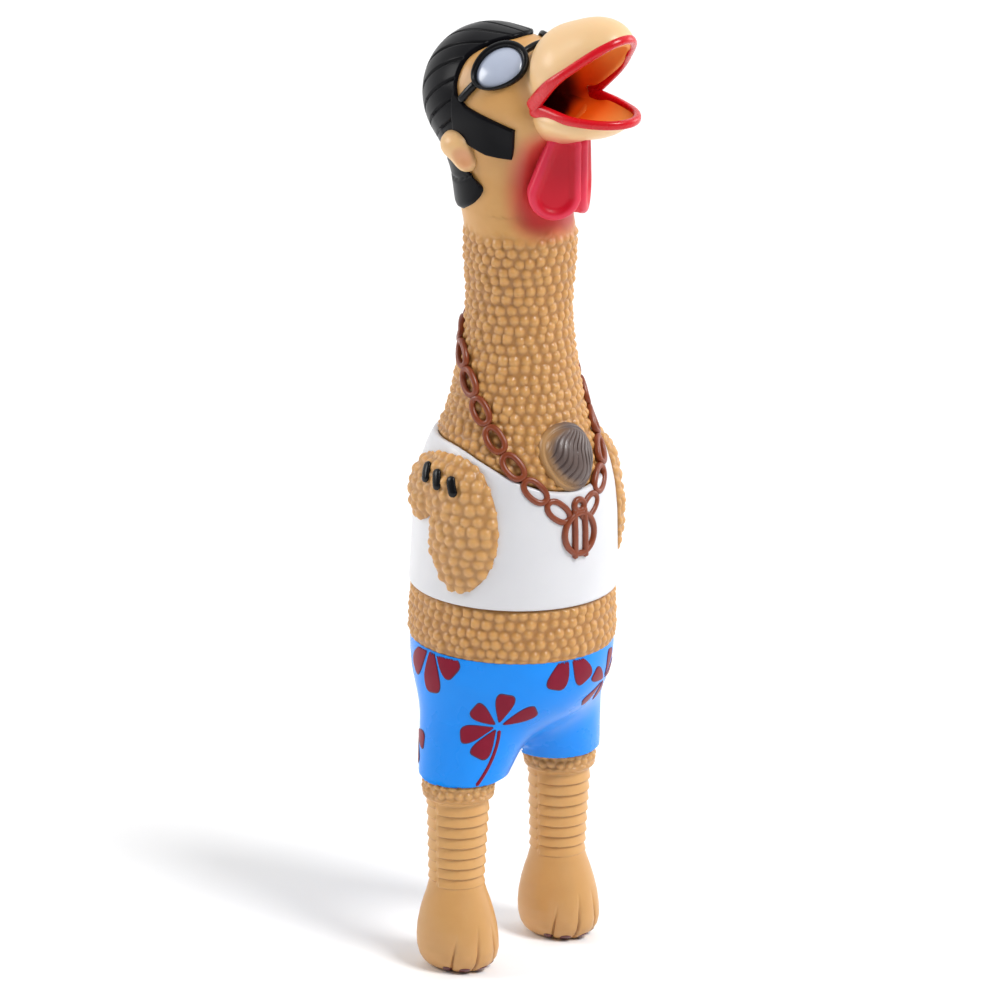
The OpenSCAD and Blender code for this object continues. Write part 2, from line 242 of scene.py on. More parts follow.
def cast(shape: Field, start: Points, way: Points, reach: float) -> Points:
    """Return where rays that start inside a solid leave it.

    Args:
        shape: distance function of the solid.
        start: starts of the rays, inside the solid.
        way: unit directions of the rays.
        reach: length of the rays, which ends outside the solid.

    Returns:
        One point a ray.
    """
    low = np.zeros(way.shape[:-1])
    high = np.full(way.shape[:-1], reach)
    for _ in range(26):
        middle = (low + high) / 2
        inside = shape(start + middle[..., None] * way) < 0
        low = np.where(inside, middle, low)
        high = np.where(inside, high, middle)
    return start + high[..., None] * way


def closed_curve(points: Sequence[Sequence[float]], count: int) -> Points:
    """Draw a smooth closed curve.

    Args:
        points: the few points that it passes through.
        count: how many points it gets.

    Returns:
        Points along the curve.
    """
    knots = np.array(points, float)
    size = len(knots)
    where = np.arange(count) * size / count
    i = where.astype(int)
    t = (where - i)[:, None]
    a, b, c, d = (knots[(i + k) % size] for k in (-1, 0, 1, 2))
    return b + 0.5 * t * (c - a + t * (2 * a - 5 * b + 4 * c - d + t * (3 * (b - c) + d - a)))


# ---- meshes ----


def solid_net(
    shape: Field, low: Sequence[float], high: Sequence[float], step: float
) -> tuple[Points, Points]:
    """Mesh the surface of a distance function with one point in each cell that it crosses.

    Args:
        shape: distance function.
        low: lowest corner of the grid.
        high: highest corner of the grid.
        step: size of a cell.

    Returns:
        Points and four-sided faces, as index rows.
    """
    axes = [np.arange(a, b + step, step) for a, b in zip(low, high)]
    spots = np.stack(np.meshgrid(*axes, indexing="ij"), axis=-1)
    value = shape(spots.reshape(-1, 3)).reshape(spots.shape[:3])
    inside = value < 0
    cells = np.zeros([n - 1 for n in inside.shape], int)
    for i in (0, 1):
        for j in (0, 1):
            for k in (0, 1):
                cells += inside[i:i + cells.shape[0], j:j + cells.shape[1], k:k + cells.shape[2]]
    active = (cells > 0) & (cells < 8)
    index = np.full(cells.shape, -1)
    index[active] = np.arange(active.sum())
    points = spots[:-1, :-1, :-1][active] + step / 2
    faces = []
    for axis in range(3):
        moved = np.moveaxis(inside, axis, 0)
        numbers = np.moveaxis(index, axis, 0)
        first = moved[:-1, 1:-1, 1:-1]
        second = moved[1:, 1:-1, 1:-1]
        for crossing, flip in ((first & ~second, axis == 1), (~first & second, axis != 1)):
            i, j, k = np.nonzero(crossing)
            ring = [numbers[i, j, k], numbers[i, j + 1, k], numbers[i, j + 1, k + 1], numbers[i, j, k + 1]]
            quad = np.stack(ring[::-1] if flip else ring, axis=-1)
            faces.append(quad[(quad >= 0).all(axis=1)])
    return snapped(shape, points), np.concatenate(faces)


def relaxed(shape: Field, points: Points, faces: Points, rounds: int = 4) -> Points:
    """Even out the points of a net along its own surface.

    Args:
        shape: distance function of the surface.
        points: points of the net.
        faces: its four-sided faces.
        rounds: how often each point moves towards its neighbours.

    Returns:
        The moved points.
    """
    edges = np.concatenate([faces[:, [i, (i + 1) % 4]] for i in range(4)])
    for _ in range(rounds):
        total = np.zeros_like(points)
        count = np.zeros(len(points))
        for a, b in ((0, 1), (1, 0)):
            np.add.at(total, edges[:, a], points[edges[:, b]])
            np.add.at(count, edges[:, a], 1)
        points = snapped(shape, 0.4 * points + 0.6 * total / np.maximum(count, 1)[:, None], rounds=2)
    return points


@dataclass
class Sheet:
    """A mesh on its way to Blender: points in millimetres off the axis, faces and paint masks."""

    points: Points
    faces: Points
    masks: dict[str, Points] = field(default_factory=dict)
    normals: Points | None = None

    def part(self, keep: Points) -> "Sheet":
        """Return the faces that keep marks, with their own points, masks and normals."""
        faces = self.faces[keep]
        used, flat = np.unique(faces.reshape(-1), return_inverse=True)
        return Sheet(
            self.points[used],
            flat.reshape(faces.shape),
            {name: mask[used] for name, mask in self.masks.items()},
            None if self.normals is None else self.normals[used],
        )

    def middles(self) -> Points:
        """Return the middle of each face."""
        return self.points[self.faces].mean(axis=1)

    def build(self, name: str, finish: "Finish") -> bpy.types.Object:
        """Make the Blender object, smooth and painted.

        Args:
            name: name of the piece.
            finish: its finish.

        Returns:
            The new object, linked to the scene.
        """
        mesh = bpy.data.meshes.new(name)
        faces = [tuple(dict.fromkeys(row)) for row in self.faces.tolist()]
        faces = [row for row in faces if len(row) > 2]
        mesh.from_pydata(to_frame(self.points).tolist(), [], faces)
        mesh.update()
        mesh.polygons.foreach_set("use_smooth", [True] * len(mesh.polygons))
        for mask_name, mask in self.masks.items():
            layer = mesh.attributes.new(mask_name, "FLOAT", "POINT")
            layer.data.foreach_set("value", mask.astype(np.float32))
        if self.normals is not None:
            mesh.normals_split_custom_set_from_vertices(self.normals.tolist())
        piece = linked(name, mesh)
        piece.data.materials.append(finish.material())
        return piece


def linked(name: str, data: bpy.types.ID) -> bpy.types.Object:
    """Return a new object that is in the scene."""
    thing = bpy.data.objects.new(name, data)
    bpy.context.scene.collection.objects.link(thing)
    return thing


def stand_in(piece: bpy.types.Object, slot: str, *nodes: str) -> None:
    """Hide the frame nodes that a piece replaces, and log its size.

    Args:
        piece: the finished piece.
        slot: not used.
        nodes: the nodes of the frame that it replaces, if any.
    """
    if nodes:
        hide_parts(*nodes)
    log.info("%s: %d faces", piece.name, len(piece.data.polygons))


def joined(sheets: Sequence[Sheet]) -> Sheet:
    """Return several plain sheets as one."""
    starts = np.cumsum([0] + [len(s.points) for s in sheets[:-1]])
    faces = [s.faces + start for s, start in zip(sheets, starts)]
    return Sheet(np.concatenate([s.points for s in sheets]), np.concatenate(faces))


def grid_faces(rows: int, columns: int, wrap: bool) -> Points:
    """Number the faces of a grid of points.

    Args:
        rows: rows of points.
        columns: points in a row.
        wrap: whether the last column joins the first.

    Returns:
        Four-sided faces, as index rows.
    """
    index = np.arange(rows * columns).reshape(rows, columns)
    across = np.roll(index, -1, axis=1)
    quads = np.stack([index[:-1], across[:-1], across[1:], index[1:]], axis=-1)
    return (quads if wrap else quads[:, :-1]).reshape(-1, 4)


def grid_normals(grid: Points, wrap: bool) -> Points:
    """Work out the normals of a grid of points.

    Args:
        grid: the points, in rows and columns.
        wrap: whether the last column joins the first.

    Returns:
        One outward unit vector a point, in one list.
    """
    padded = np.concatenate([grid[:, -1:], grid, grid[:, :1]], axis=1) if wrap else grid
    across = np.gradient(padded, axis=1)
    across = across[:, 1:-1] if wrap else across
    normal = np.cross(across, np.gradient(grid, axis=0))
    return unit(normal).reshape(-1, 3)


def capped(grid: Points) -> Sheet:
    """Return rings of points as a sheet that one middle point closes over the first ring."""
    rows, columns = grid.shape[:2]
    points = np.concatenate([grid.reshape(-1, 3), grid[0].mean(axis=0)[None]])
    first = np.arange(columns)
    middle = np.full(columns, len(points) - 1)
    fan = np.stack([np.roll(first, -1), first, middle, middle], axis=-1)
    return Sheet(points, np.concatenate([grid_faces(rows, columns, True), fan]))


def implicit(shape: Field, low: Sequence[float], high: Sequence[float], step: float) -> Sheet:
    """Mesh a distance function.

    Args:
        shape: distance function.
        low: lowest corner of the grid.
        high: highest corner of the grid.
        step: size of a cell.

    Returns:
        The surface, with true normals.
    """
    points, faces = solid_net(shape, low, high, step)
    points = relaxed(shape, points, faces)
    return Sheet(points, faces, {}, slope_of(shape, points))


def squarish(count: int, power: float) -> tuple[Points, Points]:
    """Return points around a unit circle that a power below one makes squarer."""
    turn = np.linspace(0, 2 * math.pi, count, endpoint=False)
    u, v = np.cos(turn), np.sin(turn)
    return np.sign(u) * np.abs(u) ** power, np.sign(v) * np.abs(v) ** power


def tube(
    path: Points,
    up: Points,
    width: float | Points,
    height: float | Points,
    sides: int = 14,
    closed: bool = False,
) -> Sheet:
    """Sweep a rounded section along a path.

    Args:
        path: points of the middle line.
        up: at each point, the direction of the section's height.
        width: width of the section, across the path and up, as one number or one a point.
        height: height of the section, likewise.
        sides: points around the section.
        closed: whether the path is a loop.

    Returns:
        The swept sheet, with round ends where it is open.
    """
    ahead = np.roll(path, -1, axis=0) - np.roll(path, 1, axis=0) if closed else np.gradient(path, axis=0)
    ahead = unit(ahead)
    rise = unit(up - (up * ahead).sum(axis=1, keepdims=True) * ahead)
    side = np.cross(ahead, rise)
    scale = np.ones(len(path))
    if not closed:
        run = np.concatenate([[0], np.cumsum(np.linalg.norm(np.diff(path, axis=0), axis=1))])
        end = np.minimum(run, run[-1] - run) / (np.max(width) / 2)
        scale = np.maximum(rounded_edge(end), 0.02)
    ring_x, ring_y = squarish(sides, 0.8)
    wide = ring_x[None, :, None] * (scale * width / 2)[:, None, None] * side[:, None]
    high = ring_y[None, :, None] * (scale * height / 2)[:, None, None] * rise[:, None]
    grid = path[:, None] + wide + high
    faces = grid_faces(len(path), sides, True)
    if closed:
        first = np.arange(sides)
        last = first + (len(path) - 1) * sides
        seam = np.stack([last, np.roll(last, -1), np.roll(first, -1), first], axis=-1)
        faces = np.concatenate([faces, seam])
    return Sheet(grid.reshape(-1, 3), faces)


# ---- finishes ----


@dataclass(frozen=True)
class Finish:
    """A paint or a bare material.

    Fields hold the two colours that it drifts between, its gloss, how deep light goes
    into it, the size and depth of its surface grain in millimetres, and layers: further
    paints, each laid where the mesh's mask of that name is white. Some of the layers are
    painted shade or painted light.
    """

    name: str
    colour: Colour
    drift: Colour
    roughness: float = 0.45
    coat: float = 0.0
    depth: float = 0.0
    metallic: float = 0.0
    specular: float = 0.5
    mottle_mm: float = 9.0
    grain_mm: float = 0.7
    grain: float = 0.15
    layers: tuple[tuple[str, Colour], ...] = ()

    def material(self) -> bpy.types.Material:
        """Return this finish as a Blender material, made once."""
        known = bpy.data.materials.get(self.name)
        if known:
            return known
        made = bpy.data.materials.new(self.name)
        made.use_nodes = True
        nodes, links = made.node_tree.nodes, made.node_tree.links
        shader = nodes["Principled BSDF"]
        shader.inputs["Metallic"].default_value = self.metallic
        shader.inputs["Specular IOR Level"].default_value = self.specular
        shader.inputs["Coat Weight"].default_value = self.coat
        shader.inputs["Coat Roughness"].default_value = 0.12
        shader.inputs["Subsurface Weight"].default_value = self.depth
        shader.inputs["Subsurface Radius"].default_value = (1.0, 0.45, 0.2)
        shader.inputs["Subsurface Scale"].default_value = 0.003
        place_node = nodes.new("ShaderNodeTexCoord")
        mottle = self._noise(made, place_node, self.mottle_mm, 3.0)
        colour = self._mix(made, mottle.outputs["Fac"], self.colour, self.drift)
        for mask, paint in self.layers:
            layer = nodes.new("ShaderNodeAttribute")
            layer.attribute_name = mask
            colour = self._mix(made, layer.outputs["Fac"], colour, paint)
        links.new(colour, shader.inputs["Base Color"])
        self._gloss(made, mottle, shader)
        self._grain(made, place_node, shader)
        return made

    def _noise(
        self, made: bpy.types.Material, place_node: bpy.types.Node, size: float, detail: float
    ) -> bpy.types.Node:
        """Add a noise.

        Args:
            made: the material.
            place_node: where the noise takes its place from.
            size: size of its lumps in millimetres.
            detail: how many finer noises lie over it.

        Returns:
            The noise's node.
        """
        noise = made.node_tree.nodes.new("ShaderNodeTexNoise")
        noise.inputs["Scale"].default_value = 1.0 / (size * MM)
        noise.inputs["Detail"].default_value = detail
        made.node_tree.links.new(place_node.outputs["Object"], noise.inputs["Vector"])
        return noise

    def _mix(self, made: bpy.types.Material, share: object, a: object, b: object) -> object:
        """Mix two colours.

        Args:
            made: the material.
            share: socket that says how much of b there is.
            a: first colour, as a socket or plain.
            b: second colour, likewise.

        Returns:
            The socket of the mixed colour.
        """
        mix = made.node_tree.nodes.new("ShaderNodeMix")
        mix.data_type = "RGBA"
        made.node_tree.links.new(share, mix.inputs[0])
        for socket, value in ((mix.inputs[6], a), (mix.inputs[7], b)):
            if isinstance(value, tuple):
                socket.default_value = (*value, 1.0)
            else:
                made.node_tree.links.new(value, socket)
        return mix.outputs[2]

    def _gloss(self, made: bpy.types.Material, mottle: bpy.types.Node, shader: bpy.types.Node) -> None:
        """Let the roughness drift a little with the mottling."""
        spread = made.node_tree.nodes.new("ShaderNodeMapRange")
        spread.inputs["To Min"].default_value = self.roughness - 0.06
        spread.inputs["To Max"].default_value = self.roughness + 0.08
        made.node_tree.links.new(mottle.outputs["Fac"], spread.inputs["Value"])
        made.node_tree.links.new(spread.outputs["Result"], shader.inputs["Roughness"])

    def _grain(self, made: bpy.types.Material, place_node: bpy.types.Node, shader: bpy.types.Node) -> None:
        """Add the fine unevenness of the moulded or painted surface."""
        noise = self._noise(made, place_node, self.grain_mm, 2.0)
        bump = made.node_tree.nodes.new("ShaderNodeBump")
        bump.inputs["Strength"].default_value = self.grain
        bump.inputs["Distance"].default_value = 0.1 * MM
        made.node_tree.links.new(noise.outputs["Fac"], bump.inputs["Height"])
        made.node_tree.links.new(bump.outputs["Normal"], shader.inputs["Normal"])


TAN = (0.64, 0.345, 0.115)
TAN_DRIFT = (0.57, 0.290, 0.085)
# Painted shade: the dark brown laid in the hollows between the nubs, in grooves and under the steps of the
# rings.
VALLEY_SHADE = (0.30, 0.120, 0.026)
PEACH = (0.84, 0.56, 0.29)
BLUSH = (0.62, 0.012, 0.03)

# The latex's valley layer is painted shade between the nubs.
LATEX = Finish(
    "latex", TAN, TAN_DRIFT, 0.38, 0.06, 0.10, layers=(("valley_shade", VALLEY_SHADE), ("pale", PEACH), ("blush", BLUSH))
)
# The mouth's orange, with painted light on the front of the mouth and painted shade deep towards the throat.
MOUTH = Finish(
    "mouth_orange", (0.86, 0.13, 0.004), (0.80, 0.10, 0.003), 0.55, 0.0, 0.08, specular=0.15,
    layers=(("painted_light", (0.90, 0.38, 0.09)), ("deep", (0.06, 0.001, 0.001))),
)
LIP_RED = Finish(
    "lip_red", (0.68, 0.005, 0.016), (0.60, 0.003, 0.012), 0.26, 0.1, 0.02, grain=0.08, specular=0.4
)
WATTLE_RED = Finish(
    "wattle_red", (0.78, 0.035, 0.085), (0.72, 0.025, 0.065), 0.40, 0.05, 0.06, specular=0.3,
    layers=(("dish", (0.62, 0.002, 0.020)),),
)
HAIR_BLACK = Finish(
    "hair_black", (0.002, 0.002, 0.003), (0.005, 0.005, 0.007), 0.30, grain=0.12, specular=0.10
)
GLOSS_BLACK = Finish(
    "gloss_black", (0.003, 0.003, 0.004), (0.007, 0.007, 0.008), 0.24, 0.05, grain=0.06, specular=0.2
)
LENS_GREY = Finish(
    "lens_grey", (0.38, 0.43, 0.56), (0.46, 0.51, 0.63), 0.22, 0.5, mottle_mm=14.0, grain=0.05
)
SHIRT_WHITE = Finish(
    "shirt_white", (0.66, 0.66, 0.69), (0.72, 0.72, 0.745), 0.38, 0.15, 0.03, mottle_mm=18.0, grain=0.1
)
SHORTS_BLUE = Finish(
    "shorts_blue", (0.001, 0.235, 0.86), (0.002, 0.28, 0.93), 0.27, 0.05, specular=0.25, mottle_mm=20.0,
    grain=0.1,
)
FLOWER_RED = Finish(
    "flower_red", (0.19, 0.006, 0.022), (0.25, 0.006, 0.03), 0.36, specular=0.15, mottle_mm=5.0, grain=0.1
)
FLOWER_EDGE = Finish("flower_edge", (0.035, 0.004, 0.045), (0.05, 0.006, 0.05), 0.4, 0.1, grain=0.1)
BRONZE = Finish(
    "chain_bronze", (0.16, 0.026, 0.007), (0.28, 0.060, 0.016), 0.34, 0.05, mottle_mm=3.0, grain=0.2
)
# The tuft's groove layer is painted shade in the combed grooves.
TUFT_GREY = Finish(
    "tuft_grey", (0.13, 0.088, 0.076), (0.085, 0.058, 0.052), 0.42, 0.15, mottle_mm=4.0,
    layers=(("rim", (0.44, 0.24, 0.09)), ("groove", (0.035, 0.022, 0.02))),
)
NAIL_MAROON = Finish("nail_maroon", (0.085, 0.010, 0.014), (0.13, 0.018, 0.02), 0.3, 0.3)
IVORY = Finish("squawker_ivory", (0.78, 0.74, 0.64), (0.72, 0.68, 0.58), 0.4, grain=0.1)
STEEL = Finish("clip_steel", (0.50, 0.50, 0.51), (0.42, 0.42, 0.43), 0.3, metallic=1.0, grain_mm=0.3)
REED = Finish("reed_strip", (0.72, 0.52, 0.22), (0.66, 0.46, 0.18), 0.28, metallic=1.0, grain_mm=0.3)


# ---- shared forms ----


@dataclass(frozen=True)
class Nubs:
    """The goose-bump lattice: rows of domes that close up as the body narrows."""

    pitch: float = 5.0
    radius: float = 2.6
    height: float = 1.3

    def rise(self, turn: Points, run: Points, girth: Callable[[Points], Points]) -> Points:
        """Return how high the domes stand at each point of a round skin.

        Args:
            turn: direction around the body, in radians.
            run: distance along the skin, in millimetres.
            girth: radius of the body as a function of that distance.

        Returns:
            Height in millimetres, 0 between the domes.
        """
        row_pitch = self.pitch * 0.88
        here = girth(run)
        best = np.zeros(np.broadcast(turn, run).shape)
        for step in (-1, 0, 1):
            row = np.round(run / row_pitch) + step
            count = np.round(2 * math.pi * girth(row * row_pitch) / self.pitch)
            shift = 0.5 * (row % 2) + 0.23 * np.sin(row * 1.7)
            place_in_row = turn / (2 * math.pi) * count - shift
            number = np.round(place_in_row)
            wobble = np.sin(number * 12.9898 + row * 78.233) * 43758.5453
            wobble = wobble - np.floor(wobble) - 0.5
            side = (place_in_row - number) / count * 2 * math.pi * here + 1.3 * wobble
            along = run - row * row_pitch + 1.5 * (wobble * 7.3 % 1.0 - 0.5)
            near = np.hypot(side, along) / (self.radius * (1 + 0.2 * wobble))
            dome = np.clip(1 - near**2, 0, 1) ** 1.35
            best = np.maximum(best, dome * (1 + 0.35 * wobble))
        return self.height * best


NUBS = Nubs()


@dataclass(frozen=True)
class BodyForm:
    """The round body, from the waist to the head: radius against height."""

    knots: tuple[tuple[float, float], ...] = (
        (130, 44.6), (143, 45.0), (155, 45.2), (167, 44.6), (185, 44.0), (206, 43.4), (218, 42.2),
        (227, 40.2), (234, 37.8), (241, 34.6), (248, 31.6), (255, 29.4), (262, 27.9), (272, 26.2),
        (282, 24.4), (292, 23.3), (300, 22.8), (309, 23.2), (320, 24.0), (333, 24.4), (350, 24.4),
    )

    def radius(self, z: Points) -> Points:
        """Return the radius at a height, smoothed over a few millimetres."""
        heights, radii = np.array(self.knots).T
        offsets = np.linspace(-4, 4, 9)
        weights = np.exp(-(offsets / 2.6) ** 2)
        total = sum(w * np.interp(np.asarray(z, float) + o, heights, radii) for o, w in zip(offsets, weights))
        return total / weights.sum()

    def runs(self) -> tuple[Points, Points]:
        """Return heights and the distance along the skin at each."""
        z = np.linspace(125.0, 350.0, 1801)
        steps = np.hypot(np.diff(z), np.diff(self.radius(z)))
        return z, np.concatenate([[0.0], np.cumsum(steps)])


BODY = BodyForm()
BODY_Z, BODY_RUN = BODY.runs()


def run_at(z: Points) -> Points:
    """Return the distance along the body's skin at a height."""
    return np.interp(z, BODY_Z, BODY_RUN)


def girth_at(run: Points) -> Points:
    """Return the body's radius at a distance along its skin."""
    return BODY.radius(np.interp(run, BODY_RUN, BODY_Z))


def on_body(turn: Points, z: Points, rise: Points) -> Points:
    """Return points over the body's skin.

    Args:
        turn: direction in radians, 0 at the front and positive towards the left side.
        z: height.
        rise: distance outside the skin.

    Returns:
        Points, with the arguments' shape and a last axis of three.
    """
    slope = BODY.radius(z + 0.5) - BODY.radius(z - 0.5)
    lean = np.sqrt(1 + slope**2)
    radius = BODY.radius(z) + rise / lean
    return np.stack([radius * np.sin(turn), -radius * np.cos(turn), z - rise * slope / lean], axis=-1)


@dataclass(frozen=True)
class HeadForm:
    """The head and the upper beak as one rounded solid, with the mouth carved out."""

    cranium: tuple[float, float, float] = (0.0, 16.5, 391.0)
    cranium_radii: tuple[float, float, float] = (27.5, 33.0, 30.5)
    face: tuple[float, float, float] = (0.0, -3.0, 389.0)
    face_radii: tuple[float, float, float] = (23.5, 20.0, 30.0)
    cheek: tuple[float, float, float] = (0.0, -17.0, 391.0)
    cheek_radii: tuple[float, float, float] = (21.0, 14.0, 15.0)
    bulb: tuple[float, float, float] = (0.0, -34.0, 412.5)
    bulb_radii: tuple[float, float, float] = (21.5, 22.5, 22.0)
    tip: tuple[float, float, float] = (0.0, -47.5, 427.0)
    tip_radii: tuple[float, float, float] = (13.0, 14.5, 12.0)
    hollow: tuple[float, float, float] = (0.0, -36.0, 410.0)
    hollow_radii: tuple[float, float, float] = (17.0, 26.5, 12.0)
    corner_y: float = -22.5
    corner_z: float = 396.6
    rim_angle: float = math.radians(42.5)

    def skull(self, p: Points) -> Points:
        """Return the distance to the head without its beak."""
        shape = soft_min(ball(p, self.cranium, self.cranium_radii), ball(p, self.face, self.face_radii), 12.0)
        neck = cone(p, (0, 0, 330), (0, 7, 366), 24.4, 25.0)
        shape = soft_min(shape, neck, 9.0)
        return soft_min(shape, ball(p, self.cheek, self.cheek_radii), 10.0)

    def rim_height(self, p: Points) -> Points:
        """Return how far each point is above the plane of the upper rim."""
        above, behind = p[..., 2] - self.corner_z, p[..., 1] - self.corner_y
        return above * math.cos(self.rim_angle) + behind * math.sin(self.rim_angle)

    def beak_block(self, p: Points) -> Points:
        """Return the distance to the beak's outer form, before it is cut at the rim."""
        return soft_min(ball(p, self.bulb, self.bulb_radii), ball(p, self.tip, self.tip_radii), 9.0)

    def palate(self, p: Points) -> Points:
        """Return the distance to the hollow under the upper beak."""
        return ball(pitched(p - np.array(self.hollow), self.rim_angle), (0, 0, 0), self.hollow_radii)

    def throat(self, p: Points) -> Points:
        """Return the distance to the hole at the back of the mouth."""
        hole = cone(p, (0, -30, 398), (0, -2, 391), 9.0, 5.5)
        return soft_min(hole, ball(p, (0, -28, 397.4), (18.0, 10.5, 5.0)), 3.0)

    def __call__(self, p: Points) -> Points:
        """Return the distance to the whole head."""
        beak = soft_max(self.beak_block(p), -self.rim_height(p), 1.5)
        shape = soft_min(self.skull(p), beak, 3.0)
        shape = soft_max(shape, -self.palate(p), 2.0)
        return soft_max(shape, -self.throat(p), 2.5)


HEAD = HeadForm()


def head_neck(p: Points) -> Points:
    """Return the distance to the head, which turns into the round body below it."""
    body = np.hypot(p[..., 0], p[..., 1]) - BODY.radius(p[..., 2])
    share = ease(322.0, 346.0, p[..., 2])
    return body * (1 - share) + HEAD(p) * share


# ---- sub-assemblies ----


@dataclass
class BodySkin:
    """The nubby latex from the waist to the smooth throat, in three pieces."""

    columns: int = 420
    fine_step: float = 0.56
    edge_roll: float = 2.2
    first_split_z: float = 281.0
    second_split_z: float = 317.0
    smooth_from_z: float = 331.0
    smooth_to_z: float = 338.0

    def _heights(self) -> Points:
        """Return the rows of the skin, close together where it shows."""
        shown = [(WAIST_Z - 2.0, SHIRT_HEM_Z + 2.0), (216.0, 348.0)]
        rows = []
        for low, high in shown:
            count = int((run_at(high) - run_at(low)) / self.fine_step)
            rows.append(np.interp(np.linspace(run_at(low), run_at(high), count), BODY_RUN, BODY_Z))
        rows.insert(1, np.linspace(SHIRT_HEM_Z + 3.0, 215.0, 14))
        heights = np.concatenate(rows)
        for split in (self.first_split_z, self.second_split_z):
            heights[np.argmin(np.abs(heights - split))] = split
        return heights

    def sheet(self) -> Sheet:
        """Return the whole skin of revolution with its domes, painted shade between them and blush."""
        z = self._heights()[:, None]
        turn = np.linspace(-math.pi, math.pi, self.columns, endpoint=False)[None, :]
        fade = 1 - ease(self.smooth_from_z, self.smooth_to_z, z + 1.2 * np.sin(turn * 7))
        bare = self._bare(turn, z)
        nub = NUBS.rise(turn, run_at(z) + 0 * turn, girth_at) * fade * bare * ease(WAIST_Z, WAIST_Z + 2.0, z)
        roll = self.edge_roll * (1 - ease(WAIST_Z - 2.0, WAIST_Z + 1.0, z))
        grid = on_body(turn + 0 * z, z + 0 * turn, nub - 0.25 - roll - 0.6 * (1 - bare))
        head = z[:, 0] > 322.0
        grid[head] = self._towards_head(grid[head], nub[head])
        points = grid.reshape(-1, 3)
        masks = {
            # Painted shade in the valleys between the nubs.
            "valley_shade": ((1 - nub / NUBS.height).clip(0, 1) ** 1.8 * fade).reshape(-1) * 0.7,
            "pale": np.zeros(points.shape[0]),
            "blush": throat_blush(points),
        }
        return Sheet(points, grid_faces(len(z), self.columns, True), masks, grid_normals(grid, True))

    def _bare(self, turn: Points, z: Points) -> Points:
        """Return 1 where the skin is bare and 0 under the shirt."""
        around = np.mod(turn - CHEST_TURN + math.pi, 2 * math.pi) - math.pi
        below, above = SHIRT_HEM_Z - z, z - Shirt().neckline(around)
        return np.maximum(ease(0.2, 1.4, below), ease(0.2, 1.4, above))

    def _towards_head(self, grid: Points, nub: Points) -> Points:
        """Ease the upper rows onto the form of the throat."""
        spine = np.zeros_like(grid)
        spine[..., 2] = grid[..., 2]
        way = unit(grid - spine)
        return cast(head_neck, spine, way, 60.0) + (nub - 0.25)[..., None] * way

    def build(self) -> None:
        """Make the three pieces."""
        whole = self.sheet()
        z = whole.middles()[:, 2]
        spans = (
            (0.0, self.first_split_z, "torso", "neck_lower", (BEND_Z - 12, BEND_Z + 12)),
            (self.first_split_z, self.second_split_z, "neck_lower", "neck_upper", (SWAY_Z - 13, SWAY_Z + 12)),
            (self.second_split_z, 400.0, "neck_upper", "head", (TURN_Z - 13, TURN_Z + 12)),
        )
        for low, high, below, above, (start, end) in spans:
            piece = whole.part((z > low) & (z < high)).build(f"{below}_skin_nubby", LATEX)
            stand_in(piece, "skin_latex", f"{below}_skin")
            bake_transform(piece)


def throat_blush(points: Points) -> Points:
    """Return the airbrushed red of the skin around the wattles."""
    shade = 1 - ease(-3.0, 10.0, ball(points, (0, -29, 358), (26, 18, 27)))
    return shade * ease(331.0, 343.0, points[:, 2]) * 0.9


@dataclass
class HeadSkin:
    """Cranium, face and upper beak as one moulded skin, split by its paints."""

    step: float = 1.0
    cut_z: float = 345.0

    def build(self) -> None:
        """Mesh the head and make its three painted pieces."""
        whole = implicit(head_neck, (-34, -78, self.cut_z - 3), (34, 56, 448), self.step)
        whole.points[:, 2] = np.maximum(whole.points[:, 2], self.cut_z - 0.6)
        p = whole.points
        whole.masks = {
            "valley_shade": np.zeros(len(p)),
            "pale": (1 - ease(0.5, 9.0, HEAD.beak_block(p))) * 0.95,
            "blush": throat_blush(p),
            # Painted shade that darkens the mouth towards the throat, and painted light that brightens its
            # front.
            "deep": ease(-24.0, -18.0, p[:, 1]),
            "painted_light": 0.9 * (1 - ease(-42.0, -22.0, p[:, 1])),
        }
        middle = whole.middles()
        in_mouth = np.minimum(HEAD.palate(middle), HEAD.throat(middle)) < 0.9
        in_mouth |= (HEAD.rim_height(middle) < 2.0) & (HEAD.beak_block(middle) < -0.6)
        in_beak = (HEAD.beak_block(middle) < 0.6) & ~in_mouth
        kept = middle[:, 2] > self.cut_z
        parts = (
            ("head_face_skin", ~in_mouth & ~in_beak, LATEX, "skin_latex", "head_skin"),
            ("upper_beak_skin", in_beak, LATEX, "beak_paint", "upper_beak"),
            ("mouth_lining_skin", in_mouth, MOUTH, "mouth_paint", "mouth_lining"),
        )
        for name, keep, finish, slot, node in parts:
            piece = whole.part(kept & keep).build(name, finish)
            stand_in(piece, slot, node)
            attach(piece, "head")


